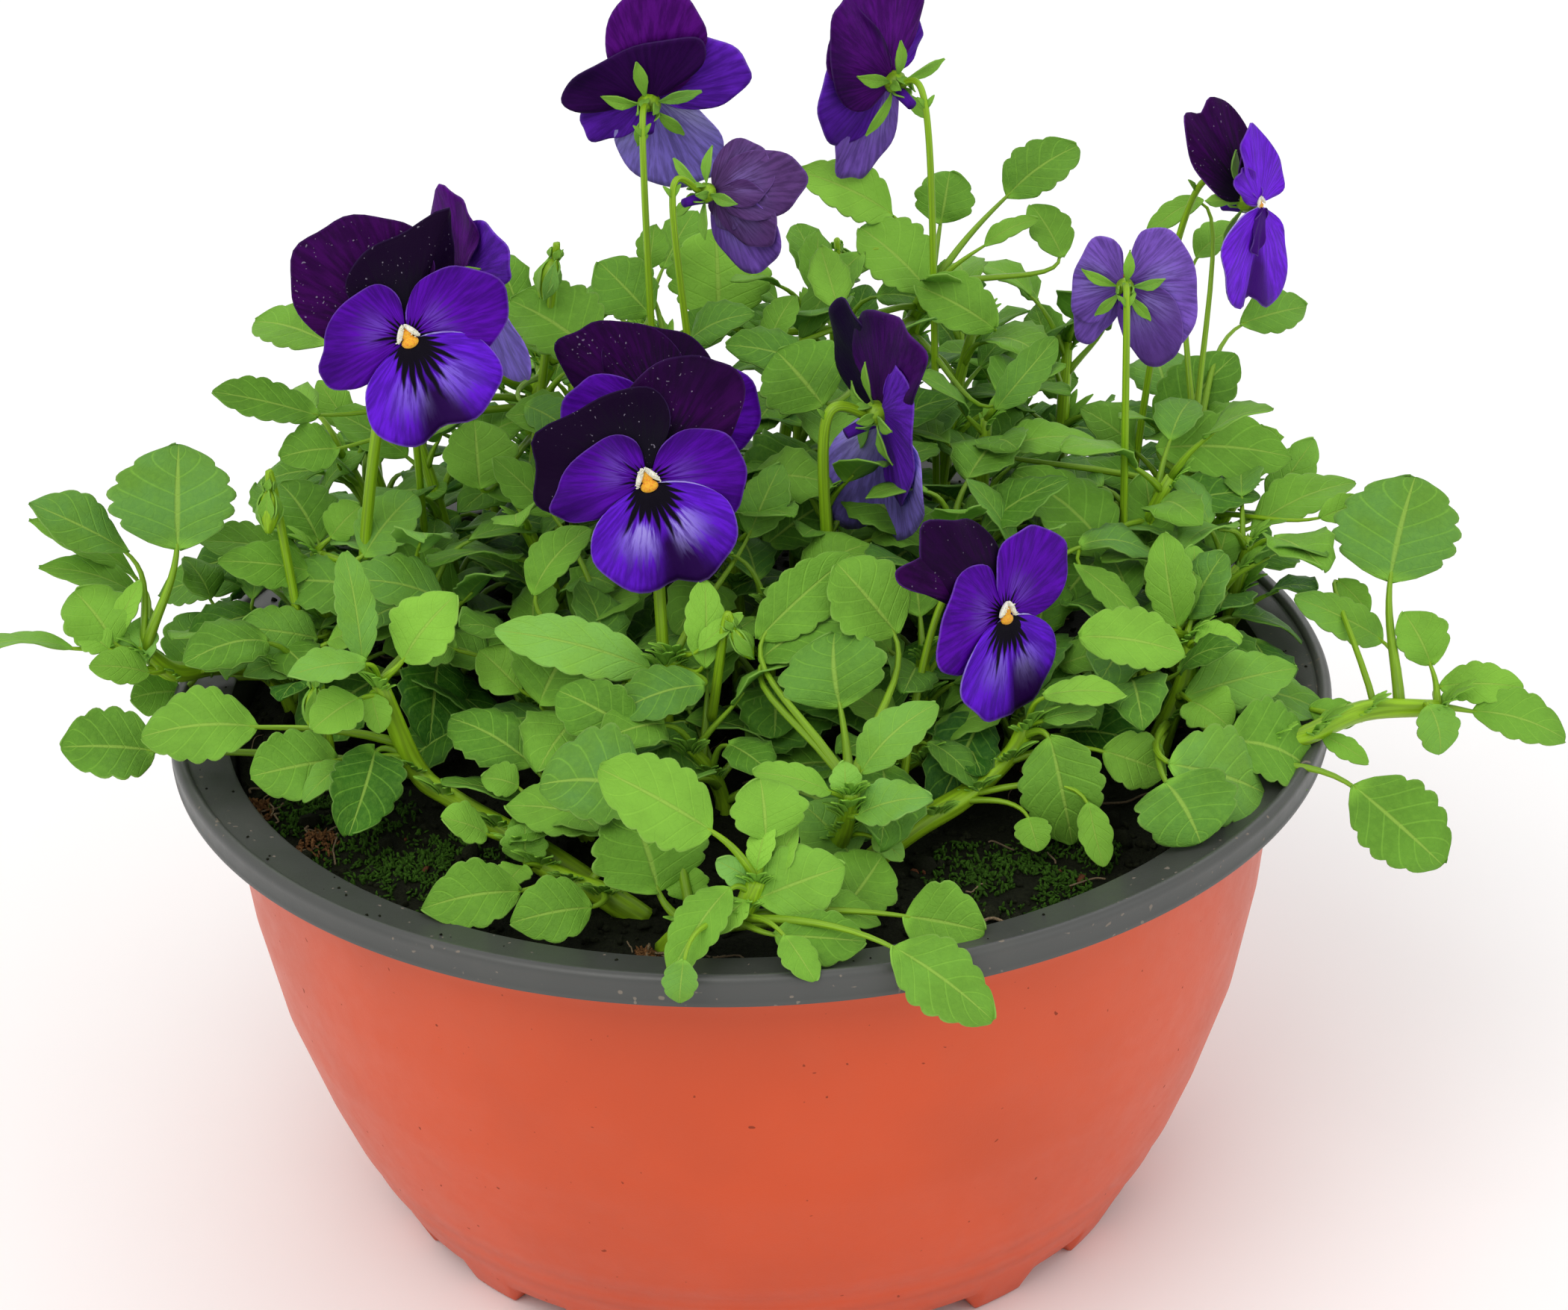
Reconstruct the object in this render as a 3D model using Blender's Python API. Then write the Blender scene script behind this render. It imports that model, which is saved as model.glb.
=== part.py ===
"""Potted garden viola: a two-colour plastic bowl, potting soil, eleven flowers and thirteen leafy shoots.

Lengths below are in millimetres and are turned into metres as each mesh is made.
The origin is on the bowl's axis, in the plane that its feet stand on. +Z is up and -Y is the front.
"""
import math

import bmesh
import bpy
from mathutils import Matrix, Quaternion, Vector
from mathutils.bvhtree import BVHTree

MM = 0.001

# ---------------------------------------------------------------- driving sizes
RIM_RADIUS = 125.0          # outside of the rolled rim
POT_HEIGHT = 118.0          # feet to the top of the rim
LIP_DROP = 6.5              # height of the turned-down band
LIP_WALL = 1.4
SHELL_WALL = 1.2
LINER_WALL = 0.9
GAP = 0.35                  # clearance kept between pieces that touch
SHELL_TOP = 114.0
BASE_RISE = 4.5             # underside of the bowl above the feet
SOIL_TOP = 110.3
SHELL_SEGMENTS = 72
LINER_SEGMENTS = 36
FOOT_COUNT = 18

# Height and outer radius of the bowl's wall, from under the rim down to the foot ring.
WALL = [(114.0, 115.2), (98.0, 113.4), (76.0, 111.0), (54.0, 106.8), (34.0, 100.4)]
STEPS = [(22.4, 95.9), (21.6, 94.8), (15.0, 91.8), (7.0, 88.0)]
FOOT_OUTER = 84.6
FOOT_INNER = 79.0

# The liner's floor and foot, as radii and rises over the floor, and its rim, as (radius, height).
HEEL_RADIUS = 82.0
HEEL_OUT = 2.4
HEEL_UP = 1.8
ANKLE = (93.2, 22.2)
SLACK = 0.1                 # added to the clearance where two turned walls have facets
FLANGE_OUTER = 122.4
FLANGE_RISE = 2.0
LIP_SHOULDER = 115.4
RIM_OUTSIDE = [(RIM_RADIUS, 116.6), (124.2, 117.7), (122.8, POT_HEIGHT), (113.0, 115.7)]
SOIL_EDGE = 104.0           # the soil's top is level out to here
SOIL_SLOPE = 2.0            # and this much lower at the wall

STALK_RADIUS = 1.2
STEM_RADIUS = 2.3
STALK_SIDES = 5
STEM_SIDES = 6
STALK_RINGS = 8
STEM_STEPS = 3

PETAL_THICKNESS = 0.7
THROAT_RADIUS = 1.8
CUP_RADIUS = 3.2
CUP_BEHIND = 4.6            # from the flower's heart back to where the stalk meets its cup
HOOK_REACH = 13.0           # how far behind the cup the stalk bends over
HOOK_RISE = 9.0
SEPAL_REACH = 10.0
# The cup and its sepals as (radius of the sepals, radius between them, height over the heart).
CUP_LEVELS = [(0.7 * CUP_RADIUS, 0.7 * CUP_RADIUS, -3.4), (SEPAL_REACH, CUP_RADIUS, -3.6),
              (SEPAL_REACH, CUP_RADIUS, -3.0), (CUP_RADIUS, CUP_RADIUS, -1.6),
              (0.8 * CUP_RADIUS, 0.8 * CUP_RADIUS, -0.72)]
PETAL_BANDS = (0.0, 0.55, 1.0)

# Half outlines of the three petal sheets as (angle from the flower's right, reach).
UPPER_HALF = [(10, 13), (24, 22), (45, 26), (66, 25), (80, 20), (90, 17)]
SIDE_HALF = [(-38, 10), (-24, 18), (-4, 21.5), (18, 21.5), (38, 17), (52, 8), (90, 4.6)]
LIP_HALF = [(-36, 15), (-50, 21), (-70, 25), (-90, 24)]
# Height of each sheet's middle over the throat, and how far it bends back with reach squared.
UPPER_SHEET = (-0.05, -0.011)
SIDE_SHEET = (0.95, -0.004)
LIP_SHEET = (1.95, -0.004)

# name: heart of the flower, turn and tilt of its face, lean of its top, size, foot of its stalk.
# Turn 0 faces the front and 90 faces +X; tilt is up from level; lean is towards the flower's own left.
FLOWERS = [
    ("flower_01", (-17, 70, 225), 172, 14, -14, 1.00, (-18.5, 46)),
    ("flower_02", (35.5, 69, 228), -148, 10, 2, 0.98, (44, 50)),
    ("flower_03", (4, 48, 206), 134, -12, 14, 0.84, (-7, 34)),
    ("flower_04", (-66, -20, 207), 6, 12, 18, 0.96, (-84, 4)),
    ("flower_05", (-56, 8, 209), 128, 4, 0, 0.94, (-70, 26)),
    ("flower_06", (-19, -30, 178), 0, 14, 16, 1.00, (-17, -38)),
    ("flower_07", (-16, 2, 177), 6, 14, 8, 0.98, (-18, 14)),
    ("flower_08", (31, 0, 178), 114, 2, 4, 1.04, (18.5, -6)),
    ("flower_09", (51, -50, 155), 42, 10, -12, 0.92, (30, -56)),
    ("flower_10", (82.5, 20, 197), 176, 6, 6, 0.76, (82, 10)),
    ("flower_11", (113, 40, 206.5), 48, 2, 6, 0.94, (88, 53)),
]

# name: points along the stem, then leaves as (place on the stem, blade base, tip, width, roll).
SHOOTS = {
    "shoot_left_far": ([(-99, 12, 0), (-112, 8, 119), (-122, 2, 126), (-128, -4, 128)], [
        (0.7, (-120, -2, 153), (-119, 9, 173), 25, 0), (1.0, (-131, 2, 151), (-149, -4, 166), 12, 0),
        (1.0, (-132, 14, 138), (-151, 10, 152), 9, 0), (1.0, (-144, -10, 136), (-169, -18, 142), 13, 0),
        (1.0, (-135, -6, 134), (-143, 0, 145), 13, 0), (0.6, (-122, 14, 128), (-119, 24, 138), 12, 0),
        (0.9, (-128, -14, 124), (-137, -24, 126), 10, 0)]),
    "shoot_left_mid": ([(-90, 14, 0), (-90, 8, 128), (-91, 8, 138), (-92, 10, 146)], [
        (0.9, (-96, 12, 150), (-116, 6, 154), 12, 0), (1.0, (-92, 14, 149), (-100, 24, 160), 14, 0),
        (0.7, (-92, -4, 134), (-106, -10, 138), 12, 0), (0.8, (-83, 12, 149), (-73, 20, 160), 12, 0),
        (0.6, (-98, 26, 134), (-120, 30, 136), 12, 0), (0.7, (-58, 20, 160), (-59, 28, 173), 14, 0)]),
    "shoot_left_front": ([(-33, -72, 0), (-46, -67, 116), (-61, -52, 118), (-69, -44, 121), (-75, -44, 141)], [
        (0.66, (-101, -44, 131), (-124, -46, 134), 15, 0), (0.7, (-122, -30, 124), (-143, -38, 127), 17, 0),
        (1.0, (-78, -46, 148), (-80, -38, 168), 8, 0), (0.9, (-70, -44, 147), (-60, -42, 161), 13, 0),
        (1.0, (-79, -48, 146), (-91, -56, 150), 9, 0), (0.6, (-77, -60, 119), (-88, -72, 121), 14, 0),
        (0.85, (-63, -28, 142), (-80, -26, 153), 13, 0), (0.3, (-43, -46, 134), (-35, -38, 148), 17, 0)]),
    "shoot_rim_left": ([(-22, -86, 0), (-30, -84, 114), (-40, -78, 115), (-47, -71, 116)], [
        (1.0, (-53, -75, 122), (-61, -78, 128), 9, 0), (0.5, (-46, -91, 119), (-65, -94, 122), 13, 0),
        (0.3, (-32, -98, 119), (-47, -102, 121), 12, 0), (0.6, (-28, -74, 123), (-49, -70, 129), 13, 0)]),
    "shoot_front": ([(-18, -98, 0), (-12, -103, 116), (-4, -106, 120), (0, -104, 127)], [
        (0.9, (-8, -104, 138), (-29, -106, 152), 16, 0), (0.2, (-19, -98, 124), (-23, -90, 139), 20, 0),
        (1.0, (1, -100, 136), (1, -93, 146), 13, 0), (0.8, (-6, -110, 129), (-18, -125, 122), 9, 0),
        (0.4, (-14, -119, 122.5), (-15, -129, 120), 7, 0), (0.8, (25, -119, 122.5), (44, -130, 112), 14, 0),
        (0.9, (4, -106, 129), (18, -104, 134), 13, 0), (0.5, (16, -98, 117), (27, -90, 122), 13, 0)]),
    "shoot_mid_front": ([(13, -70, 0), (16, -76, 118), (18, -81, 126), (19, -83, 134)], [
        (0.9, (15, -85, 137), (1, -92, 145), 9, 0), (1.0, (22, -80, 138), (34, -74, 151), 10, 0),
        (0.8, (21, -86, 131), (34, -90, 138), 10, 0), (0.5, (18, -62, 141), (16, -52, 154), 20, 0)]),
    "shoot_front_right": ([(20, -71, 0), (32, -67, 116), (43, -60, 119), (51, -56, 126), (53, -56, 136)], [
        (0.9, (60, -60, 131), (65, -72, 118), 16, 0), (1.0, (68, -54, 145), (90, -56, 142), 13, 0),
        (0.8, (59, -68, 124), (60, -78, 119), 8, 0), (0.7, (68, -48, 125), (80, -43, 123), 12, 0)]),
    "shoot_right_front": ([(84, -30, 0), (88, -28, 118), (92, -25, 126), (92, -22, 134)], [
        (0.5, (83, -66, 128), (105, -64, 121), 18, 0), (0.3, (98, -46, 128), (120, -47, 127), 17, 0),
        (0.7, (92, -34, 128), (114, -30, 132), 12, 0), (1.0, (90, -22, 138), (86, -14, 154), 10, 0),
        (0.6, (99, -22, 123), (121, -16, 126), 13, 0), (0.4, (84, -68, 119), (92, -80, 120), 14, 0)]),
    "shoot_right_far": ([(92, -44, 0), (103, -43, 119), (114, -42, 122.5), (136, -37, 122), (144, -37, 122)], [
        (0.8, (137, -14, 140), (142, -4, 161), 25, 0), (0.9, (128, -24, 134), (114, -20, 144), 9, 0),
        (1.0, (142, -30, 128), (139, -24, 139), 11, 0), (1.0, (146, -38, 126), (160, -44, 129), 9, 0),
        (1.0, (151, -36, 119), (170, -40, 118), 11, 0), (0.9, (141, -46, 121), (144, -54, 115), 10, 0),
        (0.4, (125, -58, 115), (139, -67, 101), 16, 0)]),
    "shoot_right_back": ([(96, 30, 0), (98, 26, 130), (98, 28, 142), (100, 34, 150)], [
        (0.7, (110, 16, 143), (133, 22, 152), 12, 0), (0.9, (114, 36, 142), (127, 42, 153), 9, 0),
        (1.0, (98, 38, 155), (121, 34, 156), 15, 0), (0.5, (78, 4, 143), (62, 12, 161), 18, 0),
        (0.8, (94, 46, 158), (110, 54, 170), 15, 0), (0.4, (112, 56, 132), (136, 66, 136), 17, 0)]),
    "shoot_centre": ([(-28, -20, 0), (-26, -28, 127), (-24, -36, 137), (-26, -40, 142)], [
        (1.0, (-30, -42, 146), (-50, -46, 156), 12, 0), (0.8, (-12, -52, 142), (-28, -58, 143), 12, 0),
        (1.0, (-42, -28, 152), (-33, -21, 165), 10, 0),
        (0.6, (-24, -62, 134), (-38, -58, 146), 13, 0)]),
    "shoot_back": ([(36, 80, 0), (38, 76, 150), (40, 74, 168), (42, 73, 179)], [
        (0.9, (30, 74, 190), (14, 70, 202), 13, 0), (1.0, (46, 67, 184), (30, 72, 196), 17, 0),
        (1.0, (60, 78, 192), (75, 82, 205), 12, 0), (0.8, (58, 62, 180), (72, 66, 188), 13, 0),
        (0.5, (32, 102, 160), (24, 129, 163), 20, 0), (0.4, (60, 96, 152), (74, 116, 154), 20, 0)]),
    "shoot_back_left": ([(-42, 60, 0), (-44, 46, 150), (-46, 44, 163), (-41, 44, 174)], [
        (1.0, (-34, 30, 184), (-50, 38, 194), 18, 0), (1.0, (-24, 54, 182), (-32, 60, 193), 13, 0),
        (0.6, (-82, 28, 178), (-102, 34, 190), 13, 0),
        (0.5, (-60, 84, 150), (-74, 104, 152), 20, 0), (0.4, (-28, 98, 147), (-32, 124, 148), 20, 0),
        (0.8, (-8, 62, 172), (-4, 72, 190), 20, 0)]),
}
LEAF_LIFTS = (0, 3, -3, 6, 9, 13, -7)
LEAF_ROLLS = (0, 25, -25, 50, -50, 75, -75)
LEAF_CLEARANCE = 0.45
LEAF_FACING = (0, -0.55, 0.83)
PETIOLE_INSET = 0.5         # how far towards its blade a petiole starts from the stem's middle
PETIOLE_HALF = 0.8
PETIOLE_KEEL = 0.9
BLADE_HALVES = ((0.14, 0.55), (0.42, 1.0), (0.74, 0.74), (1.0, 0.10))    # share of length, share of half width
BLADE_KEEL = 0.8
BLADE_DROOP = 0.06
BLADE_LIFT = 0.35
STEM_TAPER = 0.45

# ---------------------------------------------------------------- finishes
FINISHES = {
    "terracotta_plastic": ((0.66, 0.115, 0.045), 0.38),
    "charcoal_plastic": ((0.045, 0.046, 0.048), 0.45),
    "potting_soil": ((0.020, 0.016, 0.011), 0.95),
    "upper_petal": ((0.035, 0.004, 0.055), 0.55),
    "side_petal": ((0.11, 0.012, 0.42), 0.50),
    "lip_petal": ((0.16, 0.035, 0.62), 0.50),
    "stalk_green": ((0.24, 0.42, 0.035), 0.50),
    "leaf_green": ((0.13, 0.30, 0.035), 0.60),
}


def clear_scene():
    """Empties the file, so that only this part's objects are in it."""
    for item in list(bpy.data.objects):
        bpy.data.objects.remove(item, do_unlink=True)


def finish(name):
    """Returns the named material, made on first use."""
    material = bpy.data.materials.get(name)
    if material is None:
        colour, roughness = FINISHES[name]
        material = bpy.data.materials.new(name)
        material.use_nodes = True
        shader = material.node_tree.nodes["Principled BSDF"]
        shader.inputs["Base Color"].default_value = (*colour, 1.0)
        shader.inputs["Roughness"].default_value = roughness
        shader.inputs["Metallic"].default_value = 0.0
    return material


def add_object(name, solid, finish_name):
    """Makes one closed mesh object from a solid given in millimetres."""
    verts, faces = solid
    mesh = bpy.data.meshes.new(name)
    mesh.from_pydata([Vector(v) * MM for v in verts], [], faces)
    shape = bmesh.new()
    shape.from_mesh(mesh)
    bmesh.ops.recalc_face_normals(shape, faces=shape.faces)
    bmesh.ops.triangulate(shape, faces=shape.faces)
    shape.to_mesh(mesh)
    shape.free()
    mesh.materials.append(finish(finish_name))
    mesh.shade_smooth()
    mesh.set_sharp_from_angle(angle=math.radians(40))
    item = bpy.data.objects.new(name, mesh)
    bpy.context.scene.collection.objects.link(item)
    return item


def join_solids(solids):
    """Puts several solids in one list of vertices and faces."""
    verts, faces = [], []
    for more_verts, more_faces in solids:
        start = len(verts)
        verts += more_verts
        faces += [tuple(i + start for i in face) for face in more_faces]
    return verts, faces


def loft(rings):
    """Skins a row of equal rings and closes both ends."""
    count = len(rings[0])
    verts = [point for ring in rings for point in ring]
    faces = [tuple(range(count))]
    for row in range(len(rings) - 1):
        for i in range(count):
            j = (i + 1) % count
            low, high = row * count, (row + 1) * count
            faces.append((low + i, low + j, high + j, high + i))
    faces.append(tuple(range((len(rings) - 1) * count, len(rings) * count)))
    return verts, faces


def tree_of(solid):
    verts, faces = solid
    return BVHTree.FromPolygons([Vector(v) for v in verts], faces, all_triangles=False)


# ---------------------------------------------------------------- bowl and soil
def turned(profile, segments):
    """Turns a profile of (radius, height) about Z; it starts and ends on the axis."""
    rings = []
    for radius, height in profile[1:-1]:
        angles = [2 * math.pi * k / segments for k in range(segments)]
        rings.append([(radius * math.cos(a), radius * math.sin(a), height) for a in angles])
    return fan_ends(rings, profile[0][1], profile[-1][1])


def fan_ends(rings, first_height, last_height):
    """Skins rings about Z and closes each end with a fan to a point on the axis."""
    count = len(rings[0])
    verts, faces = loft(rings)
    faces = faces[1:-1]
    first, last = len(verts), len(verts) + 1
    verts = verts + [(0, 0, first_height), (0, 0, last_height)]
    top = (len(rings) - 1) * count
    for i in range(count):
        j = (i + 1) % count
        faces.append((first, j, i))
        faces.append((last, top + i, top + j))
    return verts, faces


def foot_height(index):
    """Feet and gaps alternate round the base: two segments down, two segments up."""
    per_foot = SHELL_SEGMENTS // FOOT_COUNT
    return 0.0 if index % per_foot < per_foot // 2 else BASE_RISE


def pot_shell():
    """The terracotta outer bowl, from the underside of its base round to the inside of its base."""
    angles = [2 * math.pi * k / SHELL_SEGMENTS for k in range(SHELL_SEGMENTS)]

    def level_ring(radius, height):
        return [(radius * math.cos(a), radius * math.sin(a), height) for a in angles]

    def foot_ring(radius):
        return [(radius * math.cos(a), radius * math.sin(a), foot_height(k)) for k, a in enumerate(angles)]

    rings = [level_ring(FOOT_INNER - 1.5, BASE_RISE + 0.1), foot_ring(FOOT_INNER), foot_ring(FOOT_OUTER)]
    outside = list(reversed(WALL + STEPS))
    rings += [level_ring(radius, height) for height, radius in outside]
    inside = WALL + [(22.0, 95.0)]
    rings += [level_ring(radius - SHELL_WALL, height) for height, radius in inside]
    rings.append(level_ring(85.0, BASE_RISE + SHELL_WALL + 1.6))
    rings.append(level_ring(82.5, BASE_RISE + SHELL_WALL))
    return fan_ends(rings, BASE_RISE + 0.1, BASE_RISE + SHELL_WALL)


def pot_liner():
    """The charcoal inner skin, which rolls over the top of the shell as the rim."""
    skin = SHELL_WALL + GAP
    floor = BASE_RISE + SHELL_WALL + GAP
    outside = [(radius - skin - SLACK, height) for height, radius in reversed(WALL)]
    outside[-1] = (outside[-1][0], SHELL_TOP - 0.5)
    flange_low = SHELL_TOP + GAP
    lip_low = POT_HEIGHT - LIP_DROP
    lip_inner = RIM_RADIUS - LIP_WALL
    profile = [(0, floor), (HEEL_RADIUS, floor), (HEEL_RADIUS + HEEL_OUT, floor + HEEL_UP), ANKLE]
    profile += outside
    profile += [(outside[-1][0] + SLACK, flange_low), (FLANGE_OUTER, flange_low + FLANGE_RISE)]
    profile += [(lip_inner, LIP_SHOULDER), (lip_inner, lip_low), (RIM_RADIUS - 2 * SLACK, lip_low)]
    profile += RIM_OUTSIDE
    profile += [(radius - skin - SLACK - LINER_WALL, height) for height, radius in WALL]
    top = floor + LINER_WALL
    profile += [(ANKLE[0] - LINER_WALL, ANKLE[1] + 0.2), (HEEL_RADIUS + HEEL_OUT - 0.8, top + HEEL_UP)]
    profile += [(HEEL_RADIUS - 0.6, top), (0, top)]
    return turned(profile, LINER_SEGMENTS)


def soil_body():
    """The block of potting soil that fills the liner to just under the rim."""
    inset = SHELL_WALL + GAP + SLACK + LINER_WALL + GAP
    floor = BASE_RISE + SHELL_WALL + GAP + LINER_WALL + GAP
    side = [(radius - inset, height) for height, radius in reversed(WALL[1:])]
    top = [(WALL[0][1] - inset - 3 * SLACK, SOIL_TOP - SOIL_SLOPE), (SOIL_EDGE, SOIL_TOP)]
    heel = [(HEEL_RADIUS - 1.0, floor), (HEEL_RADIUS + 1.0, floor + HEEL_UP), (ANKLE[0] - 1.3, ANKLE[1] + 0.4)]
    profile = [(0, floor)] + heel + side + top + [(0, SOIL_TOP)]
    return turned(profile, LINER_SEGMENTS)


# ---------------------------------------------------------------- stems and leaves
def bezier(points, t):
    """De Casteljau's rule on any number of points."""
    points = [Vector(p) for p in points]
    while len(points) > 1:
        points = [a.lerp(b, t) for a, b in zip(points, points[1:])]
    return points[0]


def smooth_path(points, steps):
    """A Catmull-Rom curve through the points, with the given steps on each span."""
    points = [Vector(p) for p in points]
    ends = [2 * points[0] - points[1]] + points + [2 * points[-1] - points[-2]]
    path = []
    for i in range(len(points) - 1):
        a, b, c, d = ends[i:i + 4]
        for k in range(steps):
            t = k / steps
            path.append(0.5 * (2 * b + (c - a) * t + (2 * a - 5 * b + 4 * c - d) * t * t
                               + (3 * b - 3 * c + d - a) * t ** 3))
    return path + [points[-1]]


def tube_rings(path, radii, sides):
    """Rings along a path, each turned as little as possible from the one before."""
    rings = []
    tangent = (path[1] - path[0]).normalized()
    side = tangent.orthogonal().normalized()
    for i, point in enumerate(path):
        before, after = path[max(i - 1, 0)], path[min(i + 1, len(path) - 1)]
        new_tangent = (after - before).normalized()
        side = tangent.rotation_difference(new_tangent) @ side
        tangent = new_tangent
        other = tangent.cross(side)
        turn = [2 * math.pi * k / sides for k in range(sides)]
        rings.append([point + radii[i] * (math.cos(a) * side + math.sin(a) * other) for a in turn])
    return rings


def stem_path(points):
    """The stem's route, from its foot on the soil."""
    foot = Vector((points[0][0], points[0][1], SOIL_TOP + GAP))
    return smooth_path([foot] + points[1:], STEM_STEPS)


def stem_solid(path, extra=0.0):
    """A tapering stem that stands flat on the soil and never dips into it."""
    last = len(path) - 1
    radii = [STEM_RADIUS * (1.0 - STEM_TAPER * i / last) + extra for i in range(len(path))]
    rings = tube_rings(path, radii, STEM_SIDES)
    floor = SOIL_TOP + GAP
    rings[0] = [Vector((p.x, p.y, floor)) for p in rings[0]]
    for ring in rings[1:]:
        for point in ring:
            point.z = max(point.z, floor + 0.2)
    return loft(rings)


def leaf_solid(start, base, tip, width, roll, extra=0.0):
    """A three-sided petiole that widens into a thin blade with a keel under its midrib."""
    base, tip = Vector(base), Vector(tip)
    start = Vector(start) + PETIOLE_INSET * (base - Vector(start)).normalized()
    along = tip - base
    approach = min(0.35 * along.length, 0.4 * (base - start).length)
    bend = base - approach * along.normalized()
    stations = [(bezier((start, bend, base), t), PETIOLE_HALF, PETIOLE_KEEL) for t in (0.0, 0.45, 0.9)]
    droop = Vector((0, 0, -BLADE_DROOP * along.length))
    for t, share in BLADE_HALVES:
        stations.append((base + along * t + droop * t * t, 0.5 * width * share, BLADE_KEEL))
    normal = Quaternion(along, math.radians(roll)) @ Vector(LEAF_FACING)
    rings = []
    for i, (point, half, keel) in enumerate(stations):
        ahead = stations[min(i + 1, len(stations) - 1)][0] - stations[max(i - 1, 0)][0]
        side = ahead.cross(normal).normalized()
        face = side.cross(ahead).normalized()
        lift = face * (BLADE_LIFT + extra)
        half += extra
        rings.append([point + side * half + lift, point - side * half + lift, point - face * (keel + extra)])
    return loft(rings)


def settle_leaf(start, base, tip, width, roll, standing):
    """Lifts or rolls a leaf by small steps until it clears what already stands."""
    for lift in LEAF_LIFTS:
        up = Vector((0, 0, lift))
        for turn in LEAF_ROLLS:
            where = (start, Vector(base) + 0.7 * up, Vector(tip) + up, width, roll + turn)
            probe = tree_of(leaf_solid(*where, extra=LEAF_CLEARANCE))
            if not any(probe.overlap(tree) for tree in standing):
                return leaf_solid(*where)
    return None


def shoot_parts(name, points, leaves, standing):
    """The stem and the settled leaves of one shoot."""
    path = stem_path(points)
    stem = stem_solid(path)
    blades = []
    for place, base, tip, width, roll in leaves:
        start = path[round(place * (len(path) - 2))]
        own = [tree_of(blade_only(solid)) for solid in blades]
        leaf = settle_leaf(start, base, tip, width, roll, standing + own)
        if leaf is None:
            raise ValueError(f"{name} has no room for its leaf at {base}")
        blades.append(leaf)
    return stem, blades


def blade_only(leaf):
    """The part of a leaf beyond its petiole."""
    verts, _ = leaf
    rings = [verts[i:i + 3] for i in range(9, len(verts), 3)]
    return loft(rings)


def add_shoot(name, stem, blades):
    """Grows the leaves out of the stem, as one body."""
    item = add_object(name, stem, "leaf_green")
    crown = add_object(name + "_leaves", join_solids(blades), "leaf_green")
    crown.hide_render = True
    crown.display_type = "WIRE"
    union = item.modifiers.new("leaves", "BOOLEAN")
    union.operation = "UNION"
    union.solver = "EXACT"
    union.use_self = True
    union.object = crown
    return item


# ---------------------------------------------------------------- flowers
def flower_frame(heart, turn, tilt, lean):
    """Right, up and outward directions of a flower, with its heart, as one matrix."""
    out = Vector((math.sin(math.radians(turn)), -math.cos(math.radians(turn)), 0))
    right = Vector((0, 0, 1)).cross(out)
    out = Quaternion(right, -math.radians(tilt)) @ out
    up = out.cross(right)
    spin = Quaternion(out, math.radians(lean))
    right, up = spin @ right, spin @ up
    frame = Matrix((right, up, out)).transposed().to_4x4()
    frame.translation = Vector(heart)
    return frame


def mirrored(half):
    """Adds the other half of an outline about the flower's upright axis."""
    other = [(180 - angle, reach) for angle, reach in reversed(half) if angle % 180 != 90]
    return half + other


def petal_sheet(outline, sheet, size, frame):
    """A thin closed sheet round the throat, from THROAT_RADIUS out to the outline."""
    level, bend = sheet

    def spot(angle, reach, share, side):
        radius = (THROAT_RADIUS + (reach - THROAT_RADIUS) * share) * size
        height = level + bend * radius * radius + side * 0.5 * PETAL_THICKNESS
        a = math.radians(angle)
        return frame @ Vector((radius * math.cos(a), radius * math.sin(a), height))

    rings = []
    for angle, reach in outline:
        top = [spot(angle, reach, share, 1) for share in PETAL_BANDS]
        under = [spot(angle, reach, share, -1) for share in reversed(PETAL_BANDS)]
        rings.append(top + under)
    return loft(rings)


def stalk_solid(heart, frame, foot, size):
    """The flower stalk with its cup and five sepals, one lofted body."""
    out = frame.to_3x3() @ Vector((0, 0, 1))
    cup_back = Vector(heart) - out * CUP_BEHIND
    foot = Vector((foot[0], foot[1], SOIL_TOP + GAP))
    rise = cup_back.z - foot.z
    hook = cup_back - out * HOOK_REACH + Vector((0, 0, HOOK_RISE))
    route = (foot, foot + Vector((0, 0, 0.55 * rise)), hook, cup_back)
    path = [bezier(route, i / STALK_RINGS) for i in range(STALK_RINGS + 1)]
    rings = tube_rings(path, [STALK_RADIUS] * len(path), STALK_SIDES)
    rings[0] = [Vector((p.x, p.y, foot.z)) for p in rings[0]]
    local = frame.inverted() @ rings[-1][0]
    first = math.atan2(local.y, local.x)

    def star(reach, notch, height):
        ring = []
        for k in range(2 * STALK_SIDES):
            radius = (reach if k % 2 == 0 else notch) * size
            angle = first + math.pi * k / STALK_SIDES
            ring.append(frame @ Vector((radius * math.cos(angle), radius * math.sin(angle), height)))
        return ring

    cup = [star(*level) for level in CUP_LEVELS]
    return stitch(loft(rings), loft(cup), STALK_SIDES)


def stitch(lower, upper, sides):
    """Joins a loft's top ring to another loft's bottom ring of twice as many points."""
    low_verts, low_faces = lower
    high_verts, high_faces = upper
    low, high = len(low_verts) - sides, len(low_verts)
    faces = low_faces[:-1] + [tuple(i + high for i in face) for face in high_faces[1:]]
    for i in range(sides):
        j = (i + 1) % sides
        middle = high + 2 * i + 1
        faces += [(low + i, middle, high + 2 * i), (low + i, low + j, middle), (low + j, high + 2 * j, middle)]
    return low_verts + high_verts, faces


def flower_parts(heart, turn, tilt, lean, size, foot):
    frame = flower_frame(heart, turn, tilt, lean)
    return {
        "upper_petals": petal_sheet(mirrored(UPPER_HALF), UPPER_SHEET, size, frame),
        "side_petals": petal_sheet(mirrored(SIDE_HALF), SIDE_SHEET, size, frame),
        "lip_petal": petal_sheet(mirrored(LIP_HALF), LIP_SHEET, size, frame),
        "stalk": stalk_solid(heart, frame, foot, size),
    }


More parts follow.
